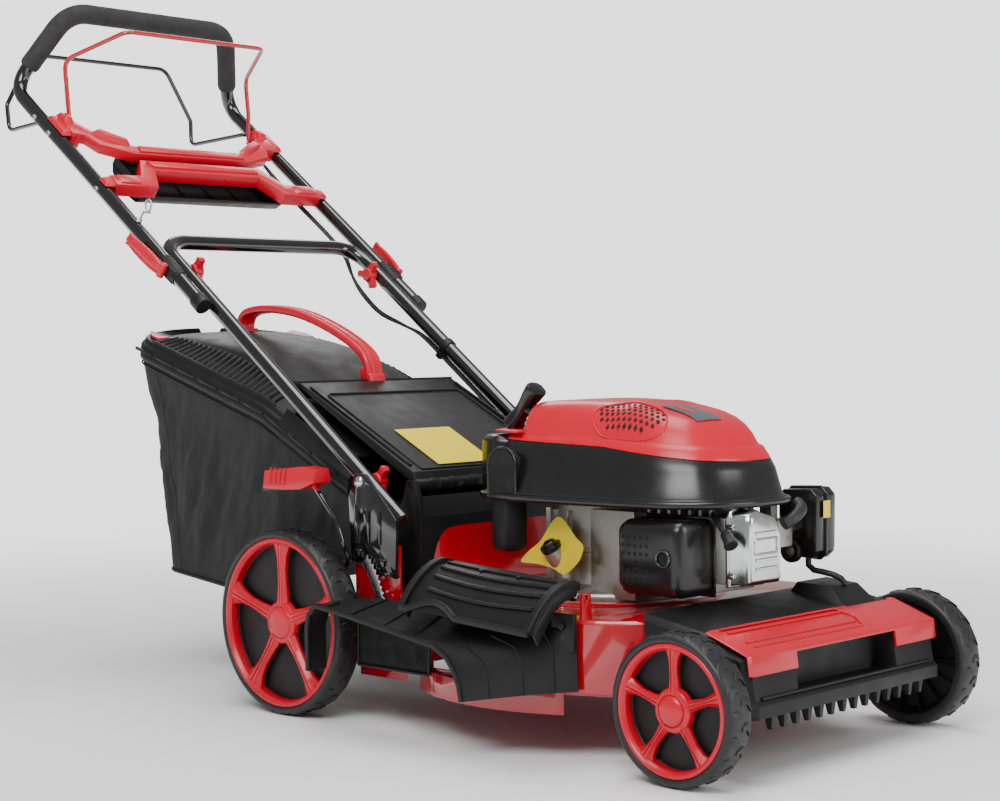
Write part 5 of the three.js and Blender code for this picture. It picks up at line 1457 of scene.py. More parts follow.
def make_vent():
    """Perforated vent: a shallow lens outline with staggered diamond holes, each a near-black diamond of
    painted shade.
    """
    lens = []
    for i in range(48):
        t = 2 * math.pi * i / 48
        lens.append((-226 + 64 * math.cos(t) * (1 - 0.12 * math.sin(t)), -92 + 24 * math.sin(t)))
    ring = [at(x, y, cowl_height(x, y) + 0.9) for x, y in lens]
    wire("vent_outline", [ring + ring[:1]], "deck", "red_plastic", 1.3, 8)
    holes = []
    for row in range(8):
        for col in range(14):
            x = -292 + col * 10.2 + (5.1 if row % 2 else 0)
            y = -113 + row * 6.0
            if ((x + 226) / 58) ** 2 + ((y + 92) / 20.5) ** 2 > 1:
                continue
            z = cowl_height(x, y)
            slope_x = (cowl_height(x + 2, y) - cowl_height(x - 2, y)) / 4
            slope_y = (cowl_height(x, y + 2) - cowl_height(x, y - 2)) / 4
            diamond = [(a, b, a * slope_x + b * slope_y) for a, b in ((3.4, 0), (0, 2.5), (-3.4, 0),
                    (0, -2.5))]
            rings = [[(x + a * s, y + b * s, z + tilt + up) for a, b, tilt in diamond]
                     for s, up in ((1.0, -0.8), (1.0, 0.5), (0.75, 0.55))]
            holes.append(surface(rings, closed=True, caps=True))
    # painted shade: each hole is a near-black diamond, not an opening
    build("vent_holes", holes, "deck", "painted_shade")


def make_cowl_panel():
    """Plain inset panel near the cowl's front, with a red band."""
    panel = []
    for u in range(7):
        row = []
        for v in range(5):
            x = -196 + 62 * u / 6 + 8 * v / 4
            y = -60 + 44 * v / 4
            row.append((x, y, cowl_height(x, y) + 1.0))
        panel.append(row)
    thing = thickened("cowl_panel", [surface(panel)], 1.2)
    shade(thing)
    dress(thing, "deck", "grey_panel")
    band = [[(x, y, z + 0.7) for x, y, z in row[1:3]] for row in panel[1:5]]
    thing = thickened("cowl_panel_band", [surface(band)], 1.0)
    dress(thing, "deck", "red_plastic")


def make_muffler():
    """Black pressed guard with a grid of small holes, a collared outlet and slots on top; holes, bore and
    slots are near-black pieces of painted shade.
    """
    x0, x1, front = -208, -94, -151
    back = -76.5
    shape = [(x0 + 10, 213), (x1 - 6, 213), (x1, 221), (x1, 308), (x1 - 6, 316), (x0 + 12, 316), (x0, 305),
             (x0, 225)]
    body = []
    cx, cz = (x0 + x1) / 2, 264.5
    for y, inset in ((back, 0), (front + 16, 0), (front + 7, 2.5), (front + 2, 7), (front, 12)):
        body.append([(cx + (x - cx) * (1 - inset / 54), y, cz + (z - cz) * (1 - inset / 46))
                     for x, z in shape])
    build("muffler_box", [surface(body, closed=True, caps=True)], "deck", "black_smooth", 5.0,
          replaces=("muffler_guard",))
    # painted shade: the holes are near-black squares, not openings
    square = [hull(*[(x * s, y, z * s) for x in (-2.6, 2.6) for z in (-2.6, 2.6)
                     for y, s in ((-0.7, 0.8), (0.4, 1))])]
    repeat("muffler_holes", square, "deck", "painted_shade", 5, at(-193, front - 0.1, 236), bare(10.4, 0, 0), rows=6,
           row_step=bare(0, 0, 11.4), edge=0.0)
    collar = [(13, -1.5), (13, 2.5), (12, 3.4), (9.8, 3.4), (9, 2.6), (9, -1.5)]
    build("muffler_outlet", [turned([(r, -h) for r, h in collar], (-122, front, 266), "y", 36)], "deck",
          "black_paint", 0.5)
    # painted shade: a near-black disc fills the outlet's bore
    build("muffler_outlet_dark", [bar((-122, front - 0.8, 266), (-122, front + 4, 266), 9.2, 32)], "deck",
          "painted_shade")
    # painted shade: the slots are near-black bars, not openings
    slot = [hull(*[(x, y, z) for x in (-1.6, 1.6) for y in (-14, 14) for z in (-0.5, 0.6)])]
    repeat("muffler_slots", slot, "deck", "painted_shade", 9, at(-190, -112, 316), bare(10.2, 0, 0), edge=0.4)
    flange = [hull(*[(x, y, z) for x in (x0 - 3, x1 + 3) for y in (-80, -76.6) for z in (210, 319)])]
    build("muffler_flange", flange, "deck", "black_paint", 1.2)


def ring_at(radius, height, count):
    """Points of a level circle about the engine shaft."""
    turns = (2 * math.pi * k / count for k in range(count))
    return [(SHAFT_X + radius * math.cos(t), radius * math.sin(t), height) for t in turns]


def make_block():
    """Crankcase ribs, sump bolts, and the bright valve cover with its plain ribs and bolts."""
    x, y = SHAFT_X, 0
    rib = [hull(*[(r, w, z) for r, w in ((88, -2), (98, -1.4), (98, 1.4), (88, 2)) for z in (0, 112)])]
    repeat("case_ribs", rib, "deck", "cast_aluminium", 16, at(x, y, 204), turn=(0, 0, math.radians(22.5)),
           edge=0.6)
    bolt = [bar((112, 0, 0), (112, 0, 12), 6.5, 6), bar((112, 0, -2), (112, 0, 3), 9, 24)]
    repeat("case_bolts", bolt, "deck", "zinc_steel", 8, at(x, y, 203), turn=(0, 0, math.radians(45)),
           edge=0.6)
    band = [ring_at(r, z, 64) for r, z in ((91, 258), (95.5, 259), (95.5, 264), (91, 265))]
    build("case_band", [surface(band, closed=True)], "deck", "cast_aluminium")
    base = [ring_at(r, z, 72)
            for r, z in ((118, 190.4), (124, 190.4), (126, 193), (126, 199), (123, 203), (105, 206),
                         (94, 212))]
    build("sump_flange", [surface(base, closed=True)], "deck", "cast_aluminium", 0.8)
    face = -38.0
    cy = -36
    cover = [(cy - 38, 228), (cy + 36, 226), (cy + 38, 232), (cy + 38, 296), (cy + 26, 320), (cy - 16, 330),
             (cy - 34, 324), (cy - 38, 314)]
    centre_y, centre_z = cy, 276
    rings = []
    for depth, inset in ((-75.6, -4), (-70, -4), (-69.5, 0), (-48, 0.02), (-42, 0.05), (-39, 0.11),
            (-38, 0.18)):
        s = 1 - inset if inset >= 0 else 1 + 0.09
        rings.append([(depth, centre_y + (a - centre_y) * s, centre_z + (b - centre_z) * s)
                      for a, b in cover])
    build("valve_cover_shell", [surface(rings, closed=True, caps=True)], "deck", "pressed_steel", 2.0,
          replaces=("valve_cover",))
    ribs = [hull(*[(px, cy + a, b) for px, s in ((face - 1, 1), (face + 2.2, 0.6)) for a in (-24, 24)
                   for b in (zz - 2.6 * s, zz + 2.6 * s)])
            for zz in (250, 262, 298)]
    frame_loop = [(face + 0.8, cy + a, b) for a, b in ((-26, 270), (26, 270), (26, 290), (-26, 290),
            (-26, 270))]
    ribs.append(tube(path(frame_loop, 3, 3), 1.6, 8))
    build("valve_cover_ribs", ribs, "deck", "pressed_steel", 0.8)
    bolts = [bar((-71, cy + a, b), (-60, cy + a, b), 4.6, 6)
             for a, b in ((-41, 240), (41, 240), (-41, 306), (40, 300))]
    build("valve_cover_bolts", bolts, "deck", "zinc_steel", 0.5)
    # spark plug boot and lead between the guard and the cover
    lead = flowing([(-62, -92, 296), (-74, -88, 306), (-92, -78, 318), (-112, -66, 326), (-136, -60, 328)],
                   6)
    build("plug_lead", [tube(lead, 3.6, 12)], "deck", "rubber", angle=60)
    boot = [bar((-50, -98, 286), (-66, -90, 300), 8.5, 20, 7, 2),
            bar((-48, -99, 284), (-51, -97.5, 287), 10, 20)]
    build("plug_boot", boot, "deck", "rubber", angle=45)


def make_filler():
    """Black dipstick cap with a grip rim, and a plain yellow tag on the filler's neck."""
    top, axis = Vector((-352, -118, 262)), Vector((-8, -22, 36)).normalized()
    parts = [bar(tuple(top + axis * 0.6), tuple(top + axis * 9), 16, 32),
             bar(tuple(top + axis * 8), tuple(top + axis * 14), 11, 6, 9, 1)]
    build("oil_cap_top", parts, "oil_cap", "black_smooth", 0.8, replaces=("oil_cap",))
    tag = [(-345, 308), (-330, 300), (-312, 282), (-298, 272), (-296, 262), (-304, 246), (-328, 228),
           (-352, 235), (-382, 239),
           (-414, 240), (-400, 256), (-378, 272), (-360, 298)]
    outline = closed_curve(tag, 5)
    hole = Vector((top.x, top.z))
    inner = [hole + (p - hole).normalized() * 12 for p in outline]
    rows = [[(p.x, -115 - lift + 0.10 * (p.y - 268), p.y) for p in ring]
            for ring, lift in ((inner, 0), (outline, 0), (outline, 0.9), (inner, 0.9), (inner, 0))]
    build("filler_tag", [surface(rows, closed=True)], "deck", "panel")


def make_air_filter():
    """Ribbed air filter box with its tiered lid, the primer's collar and a plain yellow panel."""
    f = 101
    side = [(-118, 262), (-104, 248), (-60, 246), (-50, 256), (-48, 340), (-58, 350), (-110, 348),
            (-118, 338)]
    cx, cz = -84, 300

    def grow(s):
        return [(cx + (x - cx) * s, cz + (z - cz) * s) for x, z in side]

    parts = []
    for y0, y1, s in ((f, f + 22, 0.94), (f + 21, f + 26, 1.02), (f + 25, f + 44, 0.97),
                      (f + 43, f + 50, 0.88)):
        parts.append(prism(grow(s), y0, y1, "y"))
    build("air_box", parts, "deck", "black_smooth", 2.2, replaces=("air_filter_box",))
    bulb_x, bulb_z = -92, 258
    collar = [(11, -9), (15, -9), (16.5, -6), (16.5, 2), (11, 2)]
    build("primer_collar", [turned(collar, (bulb_x, f, bulb_z), "y", 36)], "deck", "black_plastic", 0.6)
    crown = [(10.4 * math.cos(t), -11 - 10 * math.sin(t)) for t in (math.radians(a)
            for a in range(0, 86, 12))]
    dome = [(0.01, 0), (10.4, 0), (10.4, -6), *crown, (0.01, -21.2)]
    build("primer_dome", [turned(dome, (bulb_x, f, bulb_z), "y", 32)], "primer_bulb", "rubber",
          replaces=("primer_bulb",), angle=60)
    # snorkel elbow on the engine's front, towards the carburettor
    elbow = flowing([(-62, 70, 330), (-50, 62, 322), (-46, 40, 312), (-52, 24, 304)], 6)
    build("intake_elbow", [tube(elbow, 9, 16)], "deck", "rubber", angle=60)
    label = [hull(*[(x, y, z) for x in (-47.2, -46.4) for y in (112, 128) for z in (306, 330)])]
    build("air_box_panel", label, "deck", "panel")


def make_starter():
    """T-shaped starter grip with a ribbed bar and a neck."""
    y = GRIP_Y
    spine = flowing([(-468, y, 434), (-458, y, 446), (-446, y, 459), (-433, y, 474), (-418, y, 490)], 5)

    def wide(t):
        return 12 + 3.0 * math.cos(2 * math.pi * t) * 0.6

    bar_section = [(-1.15, -0.4), (-0.8, -0.85), (0, -1.0), (0.8, -0.85), (1.15, -0.4), (1.15, 0.4),
                   (0.8, 0.85), (0, 1.0), (-0.8, 0.85), (-1.15, 0.4)]
    parts = [tube(spine, wide, section=bar_section)]
    parts.append(tube(flowing([(-443, y, 461), (-428, y, 455), (-414, y, 451), (-403, y, 449)], 4),
                      lambda t: 8.5 - 3.0 * t, 16))
    build("starter_tee", parts, "starter_grip", "black_smooth", 1.2, replaces=("starter_grip",), angle=45)
    ridges = []
    for k in range(4):
        p = spine[3 + 4 * k]
        ridges.append(hull(*[(p.x - 12.2 + dx, y + dy, p.z + dz) for dx in (0, 3) for dy in (-8, 8)
                for dz in (-1.6, 1.6)]))
    build("starter_ridges", ridges, "starter_grip", "black_plastic", 0.8)
    seat = [(17, 0), (17, 5), (14, 7), (10, 7), (8, 4), (8, 0)]
    build("rope_eyelet", [turned([(r, h) for r, h in seat], (-400, y, 448), "x", 28)], "deck",
          "black_plastic")


class MOWER_OT_engine(bpy.types.Operator):
    """Engine dressing: cowl, muffler guard, crankcase ribs, valve cover, filter box and starter grip"""
    bl_idname = "mower.engine"
    bl_label = "Engine"

    def execute(self, context):
        make_cowl()
        make_notch()
        make_skirt_details()
        make_vent()
        make_cowl_panel()
        make_muffler()
        make_block()
        make_filler()
        make_air_filter()
        make_starter()
        return {"FINISHED"}


# ---- side chute and its door --------------------------------------------------------------------
SQUARE = [(1, -1), (1, 1), (-1, 1), (-1, -1)]
FLAT = [(1.0, -0.5), (1.0, 0.5), (-1.0, 0.5), (-1.0, -0.5)]
CHUTE_EDGE = [(-631, 86), (-631, 150), (-627, 168), (-612, 182), (-560, 176), (-372, 149), (-345, 136),
              (-330, 118), (-321, 98),
              (-317, 78)]
CHUTE_FOOT = [(-631, -306, 86), (-631, -306, 150), (-627, -302, 170), (-604, -300, 186), (-560, -264, 188),
              (-372, -264, 188),
              (-262, -264, 188), (-192, -264, 184), (-178, -264, 168), (-175, -264, 98)]
DOOR_AT = (-315, -238, 226)
DOOR_ARC = [(-6, 12), (-26, 16), (-52, 6), (-76, -14), (-94, -40)]


def lofted(first, second, steps, bulge=0.0, knots=0):
    """Rows of points between two polylines of equal length; the last points may bow outward."""
    rows = []
    for i, (a, b) in enumerate(zip(first, second)):
        a, b = Vector(a), Vector(b)
        swell = bulge if i >= knots else 0.0
        row = []
        for k in range(steps + 1):
            bow = swell * math.sin(math.pi * k / steps)
            row.append(tuple(a.lerp(b, k / steps) + Vector((bow, 0, 0.35 * bow))))
        rows.append(row)
    return rows


def make_chute():
    outer = [(x, -340, z) for x, z in CHUTE_EDGE]
    rows = lofted(outer, CHUTE_FOOT, 10, 9.0, 6)
    skin = thickened("chute_skin", [surface(rows)], 3.4, 0)
    outward(skin)
    ease_edges(skin, 0.9, 2, 40)
    shade(skin, 40)
    dress(skin, "side_chute", "black_plastic", ("side_chute",))
    lip = path([Vector(p) + Vector((0, 0.5, 0)) for p in outer], 8, 4)
    build("chute_lip", [tube(lip, 3.6, 10, section=SQUARE)], "side_chute", "black_plastic", 1.0)
    ribs = []
    for x, z in ((-590, 181.5), (-538, 174.5), (-470, 165), (-410, 156)):
        side = lofted([(x - 1.5, -337, z - 1), (x + 1.5, -337, z - 1), (x + 1.5, -337, z + 4),
                       (x - 1.5, -337, z + 4)],
                      [(x - 1.5, -268, 188), (x + 1.5, -268, 188), (x + 1.5, -268, 192),
                       (x - 1.5, -268, 192)], 6)
        if x < -560:
            side = [row[:3] for row in side]
        ribs.append(surface([list(points) for points in zip(*side)], closed=True, caps=True))
    for share in (0.22, 0.5, 0.78):
        line = [Vector(row[0]).lerp(Vector(row[-1]), share) for row in rows[6:]]
        bow = 9.0 * math.sin(math.pi * share)
        line = [p + Vector((bow, 0, 0.35 * bow)) for p in line]
        ribs.append(tube(line, 3.0, section=[(1, -0.45), (1, 0.45), (-1, 0.45), (-1, -0.45)]))
    build("chute_ribs", ribs, "side_chute", "black_plastic", 0.7)
    # painted shade: a near-black sheet on the chute's back, where the deck opens, stands for the shaded
    # inside
    panel = [prism([(-600, 92), (-455, 92), (-452, 176), (-598, 184)], -268, -264, "y")]
    build("chute_back", panel, "side_chute", "painted_shade")
    frame_line = path([(-601, -269, 90), (-453, -269, 90), (-449, -269, 178), (-600, -269, 186),
                       (-601, -269, 90)], 4, 3)
    build("chute_back_rim", [tube(frame_line, 2.6, 8)], "side_chute", "black_plastic", angle=60)
    foot = [hull(*[(x, y, z) for x in (-215, -176) for y in (-272, -265) for z in (150, 200)]),
            bar((-196, -276, 184), (-196, -272, 184), 6, 6)]
    build("chute_bracket", foot, "side_chute", "black_plastic", 1.5)


def door_spot(along, out, up):
    """A point of the closed door: along its hinge, outward from it and above it, tilted with the deck."""
    tilt = math.radians(3.5)
    return (DOOR_AT[0] + along * math.cos(tilt) + up * math.sin(tilt), DOOR_AT[1] + out,
            DOOR_AT[2] + up * math.cos(tilt) - along * math.sin(tilt))


def make_door():
    arc = flowing([(a, b, 0) for a, b in DOOR_ARC], 6)
    count = len(arc)

    def skin(along, share, lift):
        place = share * (count - 1)
        i = min(int(place), count - 2)
        here = arc[i].lerp(arc[i + 1], place - i)
        way = (arc[i + 1] - arc[i]).normalized()
        out = Vector((way.y, -way.x, 0))
        if out.y < 0:
            out = -out
        here = here + out * lift
        return door_spot(along, here.x, here.y)

    ends = (-124, 124)
    plate = [[skin(ends[0] + (ends[1] - ends[0]) * u / 24, s / 16, 0) for u in range(25)]
             for s in range(17)]
    thing = thickened("door_skin", [surface(plate)], 3.2, 0)
    outward(thing)
    ease_edges(thing, 0.8, 2, 50)
    shade(thing, 45)
    dress(thing, "side_door", "black_plastic", ("side_door",))

    def run(points):
        return [Vector(p) for p in points]

    parts = [tube(run([skin(a, s / 16, 3.0) for s in range(17)]), 5.4, section=SQUARE) for a in (-119, 118)]
    parts.append(tube(run([skin(-122 + 244 * u / 20, 0.0, 1.5) for u in range(21)]), 5.0, section=SQUARE))

    def scallop(a):
        return 1.0 - 0.13 * max(0.0, math.sin(math.pi * (a + 108) / 92)) if -108 < a < -16 else 1.0

    parts.append(tube(run([skin(-122 + 242 * u / 40, scallop(-122 + 242 * u / 40), 2.6)
            for u in range(41)]), 4.6, section=SQUARE))
    for share in (0.2, 0.37, 0.54, 0.72):
        start = -112 + 30 * share
        rib = [skin(start + (108 - start) * u / 20, share + 0.05 * math.sin(math.pi * u / 20), 2.4)
               for u in range(21)]
        parts.append(tube(run(rib), 4.4, section=FLAT))
    for top in (-64, 6):
        parts.append(tube(run([skin(top + 34 * s / 5, s / 16, 3.0) for s in range(6)]), 3.4, section=FLAT))
    build("door_ribs", parts, "side_door", "black_plastic", 0.9)
    cheek = []
    for a in (-123.5, 119.5):
        outline = [(DOOR_AT[1] + p.x, DOOR_AT[2] + p.y) for p in (arc[0], arc[4], arc[9], arc[14], arc[-4],
                arc[-1])]
        low = [(DOOR_AT[1] + p.x * 0.94 + 3, DOOR_AT[2] + p.y - 15)
               for p in (arc[-1], arc[14], arc[9], arc[4])]
        part = prism(outline + low, DOOR_AT[0] + a, DOOR_AT[0] + a + 4.5, "x")
        tilt = 3.5
        drop = -a * math.sin(math.radians(tilt))
        cheek.append(moved(part, lambda x, y, z, drop=drop: (x, y, z + drop)))
    build("door_cheeks", cheek, "side_door", "black_plastic", 1.2)
    barrels = [bar(door_spot(a, 0, 0), door_spot(b, 0, 0), 7.2, 24)
               for a, b in ((-112, -70), (-28, 28), (70, 112))]
    barrels += [hull(*[door_spot(x, y, z) for x in (a, b) for y, z in ((-2, 5), (-10, 13), (-14, 8),
            (-2, -2))])
                for a, b in ((-110, -72), (-26, 26), (72, 110))]
    build("door_hinge", barrels, "side_door", "black_plastic", 0.8, angle=45)
    ends = [bar(door_spot(a, 0, 0), door_spot(b, 0, 0), 4.4, 20) for a, b in ((-119, -112), (112, 119))]
    build("door_pin", ends, "side_door", "zinc_steel", 0.4)


class MOWER_OT_chute(bpy.types.Operator):
    """Side chute with its lip, ribs and mesh back, drawn as a near-black sheet of painted shade, and the
    ribbed door over it
    """
    bl_idname = "mower.chute"
    bl_label = "Chute and door"

    def execute(self, context):
        make_chute()
        make_door()
        return {"FINISHED"}


# ---- front cover --------------------------------------------------------------------------------
def make_nose():
    """The cover and trim keep their CAD shape; ridges, a rim and bolts are laid on them."""
    refined("nose_cover", "black_plastic", 1.6)
    refined("nose_trim", "red_plastic", 3.2)
    ridges = []
    for x, z, reach in ((4, 188.4, 193), (14, 184.6, 190), (40, 174.6, 186), (51, 170.5, 183)):
        ridges.append(tube([Vector((x, -reach, z)), Vector((x, 60, z))], 1.7, 8))
    ridges.append(tube(path([(4, 60, 188.4), (28, 74, 179.4), (51, 60, 170.5)], 8, 4), 1.7, 8))
    build("trim_ridges", ridges, "deck", "red_plastic", angle=60)
    rim = []
    for low, high in ((-205, -190), (190, 205)):
        rim.append(hull(*[(x, y, z) for y in (low, high) for x, z in ((40, 96), (62, 92), (66, 116),
                (44, 120))]))
    rim.append(tube(path([(71, -196, 108), (71, 196, 108)], 1, 1), 2.4, 8))
    build("window_rim", rim, "deck", "black_plastic", 2.0)
    bolt = [bar((0, 0, -2), (0, 0, 5), 5.4, 6), bar((0, 0, -3), (0, 0, 1.2), 8, 24)]
    repeat("nose_bolts", bolt, "deck", "zinc_steel", 2, at(-96, -170, 193), bare(0, 340, 0), edge=0.5)


class MOWER_OT_nose(bpy.types.Operator):
    """Front cover and its red trim, with ridges, a rim and bolts"""
    bl_idname = "mower.nose"
    bl_label = "Front cover"

    def execute(self, context):
        make_nose()
        return {"FINISHED"}


# ---- rear flap, handle brackets and height lever ------------------------------------------------
FLAP_HINGE = (-583, 346)
FLAP_TIP = (-842, 489)


def on_flap(share, y, lift=0.0):
    """A point of the rear flap's upper face: share from the hinge to the tip, lifted off the face."""
    low = Vector((FLAP_HINGE[0] - 2, 0, FLAP_HINGE[1] + 20))
    high = Vector((FLAP_TIP[0], 0, FLAP_TIP[1] + 8))
    way = (high - low).normalized()
    spot = low.lerp(high, share) + Vector((way.z, 0, -way.x)) * lift
    return spot.x, y, spot.z


def make_flap():
    refined("rear_flap", "black_plastic", 1.4)
    # raised border, two stiffening lines and a plain raised panel low on the right
    lines = []
    for y in (-160, 160):
        lines.append(tube([Vector(on_flap(0.06, y, 1.2)), Vector(on_flap(0.94, y, 1.2))], 2.4,
                          section=SQUARE))
    loop = path([on_flap(0.02, -146, 1), on_flap(0.02, 146, 1), on_flap(0.86, 146, 1),
                 on_flap(0.86, -146, 1), on_flap(0.02, -146, 1)], 10, 4)
    lines.append(tube(loop, 1.7, 8))
    build("flap_ridges", lines, "rear_flap", "black_plastic", 0.6)
    plate = surface([[on_flap(share, y, 1.9) for y in (-104, 14)] for share in (0.05, 0.43)])
    thing = thickened("flap_panel", [plate], 0.8, 0)
    dress(thing, "rear_flap", "panel")
    knuckle = [bar((0, -11, 0), (0, 11, 0), 10.4, 28)]
    repeat("flap_knuckles", knuckle, "rear_flap", "black_plastic", 7,
           at(FLAP_HINGE[0], -132, FLAP_HINGE[1]), bare(0, 44, 0), edge=0.8)


def make_lever():
    """Dark steel rod from the axle's pivot, with a ribbed red knob."""
    source = frame["nodes"]["height_lever"]
    knob_floor = 339 * MM
    for label, finish, above, nodes in (("lever_rod", "black_paint", False, ("height_lever",)),
            ("lever_knob", "red_plastic", True, ())):
        work = bmesh.new()
        work.from_mesh(source.data)
        bmesh.ops.remove_doubles(work, verts=work.verts, dist=2e-5)
        bmesh.ops.bisect_plane(work, geom=work.verts[:] + work.edges[:] + work.faces[:],
                plane_co=(0, 0, knob_floor), plane_no=(0, 0, 1),
                               clear_inner=above, clear_outer=not above)
        bmesh.ops.holes_fill(work, edges=[e for e in work.edges if e.is_boundary])
        bmesh.ops.dissolve_limit(work, angle_limit=math.radians(1.0), verts=work.verts, edges=work.edges)
        mesh = bpy.data.meshes.new(label)
        work.to_mesh(mesh)
        work.free()
        thing = bpy.data.objects.new(label, mesh)
        bpy.context.scene.collection.objects.link(thing)
        ease_edges(thing, 3.6 if above else 0.3, 3)
        shade(thing, 45)
        dress(thing, "rear_crank", finish, nodes)
    ridges = [hull(*[(x + dx, -259 + dy, 358 + dz) for dx in (-1.6, 1.6)
                     for dy, dz in ((-18.4, -13), (-14.6, 14), (-16.8, 0.6))]) for x in (-790, -779, -768,
                             -757)]
    build("knob_ridges", ridges, "rear_crank", "red_plastic", 0.6)


def make_ring():
    """Raised ring in the deck round the engine's foot."""
    rows = [ring_at(r, z, 72) for r, z in ((168, 189.0), (163, 193.6), (136, 193.6), (131, 189.0))]
    build("deck_ring", [surface(rows, closed=True)], "deck", "red_paint", 1.0)


def make_ramp():
    """Red pressed hood that climbs from the deck to the rear tunnel's mouth."""
    profile = flowing([(-474, 190.3, 0), (-500, 192, 0), (-524, 202, 0), (-542, 222, 0), (-553, 250, 0),
                       (-560.6, 286, 0)], 4)
    rows = []
    for k, p in enumerate(profile):
        half = 172 - 10 * k / (len(profile) - 1)
        drop = p.y - 190
        rows.append([(p.x, y, 190.2 + drop * (1 - abs(y / half) ** 12))
                     for y in [half * (2 * j / 40 - 1) for j in range(41)]])
    thing = mesh_object("tunnel_hood", [surface(rows)], at)
    outward(thing)
    wall = thing.modifiers.new("wall", "SOLIDIFY")
    wall.thickness = 1.5 * MM
    settle(thing)
    shade(thing, 50)
    dress(thing, "deck", "red_paint")


class MOWER_OT_rear(bpy.types.Operator):
    """Rear flap with its panel, height lever with its knob and the ring pressed in the deck"""
    bl_idname = "mower.rear"
    bl_label = "Flap, lever and deck ring"

    def execute(self, context):
        make_flap()
        make_lever()
        make_ring()
        make_ramp()
        return {"FINISHED"}


# ---- pieces that keep their CAD shape -----------------------------------------------------------
class MOWER_OT_carried(bpy.types.Operator):
    """Axles, gearbox, lever, blade and other pieces whose shape is already right"""
    bl_idname = "mower.carried"
    bl_label = "Carried pieces"

    def execute(self, context):
        taken = set()
        for thing in bpy.context.scene.objects:
            taken.update(thing.get("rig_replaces", []))
        slots = {part["node"]: part["material_slot"] for part in frame["record"]["subparts"]}
        for node in sorted(frame["nodes"]):
            if node in taken:
                continue
            refined(node, EASED.get(node, (slots[node], 1.0))[0], EASED.get(node, (None, 1.0))[1])
        return {"FINISHED"}


EASED = {
    "deck_shell": ("red_paint", 1.5), "crankcase": ("cast_aluminium", 1.2), "crankshaft": ("zinc_steel",
            0.4),
    "blade": ("black_paint", 0.4), "vent_hose": ("rubber", 0.0), "valve_cover": ("pressed_steel", 1.6),
}


# ---- floor, light and camera --------------------------------------------------------------------
CAMERA_AT = (2.2831, -2.1461, 0.5604)
CAMERA_AZIMUTH, CAMERA_HEIGHT, CAMERA_ROLL = 43.95, 1.76, -0.70
CAMERA_LENS = 70.19
BACKDROP = 2.2


def paper():
    """White paper that brightens away from the mower, so that it meets the backdrop without a line."""
    finish = Finish("floor_paper", (0.92, 0.92, 0.92), 0.9)
    glow = finish.nodes.new("ShaderNodeEmission")
    glow.inputs["Strength"].default_value = BACKDROP
    reach = finish.nodes.new("ShaderNodeVectorMath")
    reach.operation = "LENGTH"
    finish.link(finish.place, reach.inputs[0])
    fade = finish.nodes.new("ShaderNodeMapRange")
    fade.interpolation_type = "SMOOTHSTEP"
    fade.inputs["From Min"].default_value = 0.7
    fade.inputs["From Max"].default_value = 3.2
    finish.link(reach.outputs["Value"], fade.inputs["Value"])
    both = finish.nodes.new("ShaderNodeMixShader")
    finish.link(fade.outputs["Result"], both.inputs[0])
    skin = next(node for node in finish.nodes if node.type == "BSDF_PRINCIPLED")
    finish.link(skin.outputs[0], both.inputs[1])
    finish.link(glow.outputs[0], both.inputs[2])
    finish.link(both.outputs[0],
                next(node for node in finish.nodes if node.type == "OUTPUT_MATERIAL").inputs["Surface"])
    return finish.material


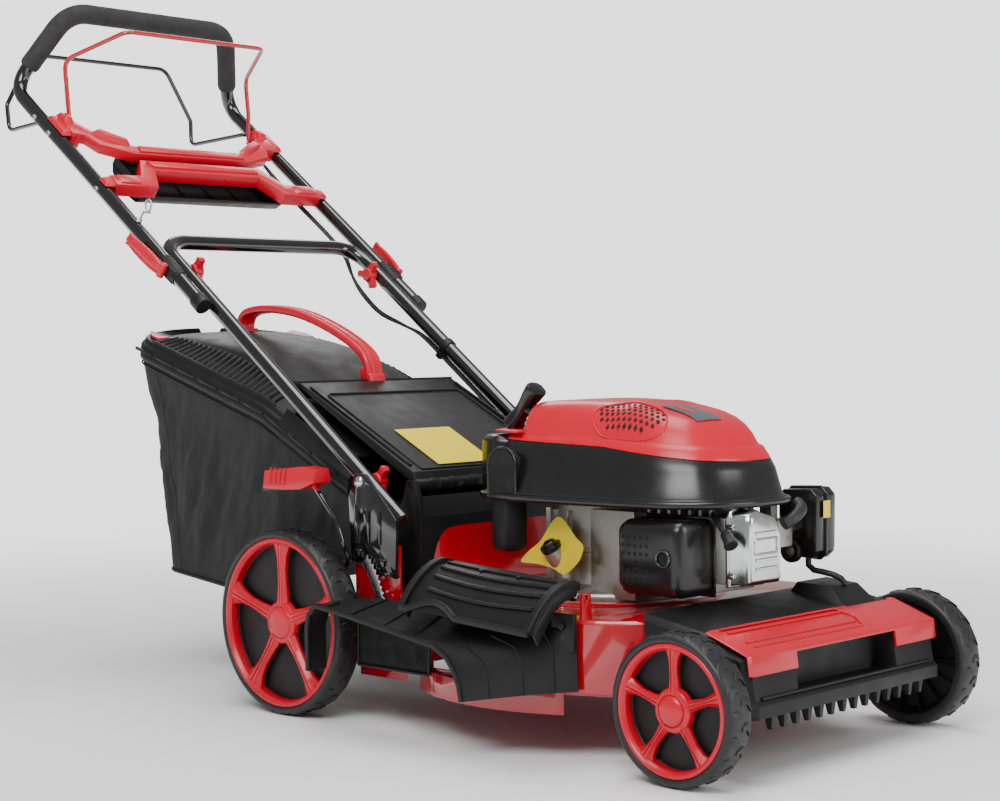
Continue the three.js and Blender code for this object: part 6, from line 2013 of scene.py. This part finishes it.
class MOWER_OT_stage(bpy.types.Operator):
    """Pale floor, soft boxes and the camera"""
    bl_idname = "mower.stage"
    bl_label = "Stage"

    def execute(self, context):
        floor = mesh_object("floor", [surface([[(-9, -9, 0), (9, -9, 0)], [(-9, 9, 0), (9, 9, 0)]])],
                            lambda *p: Vector(p))
        floor.data.materials.append(paper())
        world = bpy.data.worlds.new("studio")
        context.scene.world = world
        world.use_nodes = True
        world.node_tree.nodes["Background"].inputs["Color"].default_value = (1, 1, 1, 1)
        tree = world.node_tree
        seen = tree.nodes.new("ShaderNodeLightPath").outputs["Is Camera Ray"]
        strength = tree.nodes.new("ShaderNodeMapRange")
        strength.inputs["To Min"].default_value = 0.42
        strength.inputs["To Max"].default_value = BACKDROP
        tree.links.new(seen, strength.inputs["Value"])
        tree.links.new(strength.outputs["Result"], tree.nodes["Background"].inputs["Strength"])
        for name, place, aim, size, power in (
                ("key", (1.6, -2.6, 3.0), (0, 0, 0.4), (2.2, 1.6), 120), ("rim", (-2.6, 2.0, 2.6),
                        (0, 0, 0.5), (1.8, 1.4), 34),
                ("top", (0.2, 0.1, 3.6), (0, 0, 0.3), (2.6, 1.4), 70), ("front", (3.4, 0.9, 1.4),
                        (0.3, 0, 0.4), (0.8, 1.8), 36)):
            light = bpy.data.lights.new(name, "AREA")
            light.shape = "RECTANGLE"
            light.size, light.size_y = size
            light.energy = power
            lamp = bpy.data.objects.new(name, light)
            lamp.location = place
            lamp.rotation_euler = (Vector(aim) - Vector(place)).to_track_quat("-Z", "Y").to_euler()
            context.scene.collection.objects.link(lamp)
        a, e, roll = (math.radians(v) for v in (CAMERA_AZIMUTH, CAMERA_HEIGHT, CAMERA_ROLL))
        back = Vector((math.sin(a) * math.cos(e), -math.cos(a) * math.cos(e), math.sin(e)))
        right = Vector((math.cos(a), math.sin(a), 0))
        up = back.cross(right)
        right, up = (right * math.cos(roll) + up * math.sin(roll),
                     up * math.cos(roll) - right * math.sin(roll))
        lens = bpy.data.cameras.new("camera")
        lens.lens = CAMERA_LENS
        lens.sensor_width = 36
        camera = bpy.data.objects.new("camera", lens)
        turn = Matrix((right, up, back)).transposed().to_4x4()
        camera.matrix_world = Matrix.Translation(CAMERA_AT) @ turn
        context.scene.collection.objects.link(camera)
        context.scene.camera = camera
        return {"FINISHED"}


class MOWER_PT_panel(bpy.types.Panel):
    """Lists the sizes, colours and steps"""
    bl_idname = "MOWER_PT_panel"
    bl_label = "Mower"
    bl_space_type = "VIEW_3D"
    bl_region_type = "UI"
    bl_category = "Mower"

    def draw(self, context):
        for group in (context.scene.mower_colours, context.scene.mower_sizes):
            box = self.layout.box()
            for key in group.__annotations__:
                box.prop(group, key)
        for step in STEPS:
            self.layout.operator(step.bl_idname)


STEPS = (MOWER_OT_stage, MOWER_OT_wheels, MOWER_OT_bag, MOWER_OT_handle, MOWER_OT_engine, MOWER_OT_chute,
         MOWER_OT_nose, MOWER_OT_rear, MOWER_OT_carried)
CLASSES = (MowerColours, MowerSizes, *STEPS, MOWER_PT_panel)


def register():
    for item in CLASSES:
        bpy.utils.register_class(item)
    bpy.types.Scene.mower_colours = bpy.props.PointerProperty(type=MowerColours)
    bpy.types.Scene.mower_sizes = bpy.props.PointerProperty(type=MowerSizes)


def unregister():
    del bpy.types.Scene.mower_sizes
    del bpy.types.Scene.mower_colours
    for item in reversed(CLASSES):
        bpy.utils.unregister_class(item)


def main():
    register()
    make_finishes(bpy.context)
    for step in STEPS:
        group, name = step.bl_idname.split(".")
        getattr(getattr(bpy.ops, group), name)()


if __name__ == "__main__":
    main()
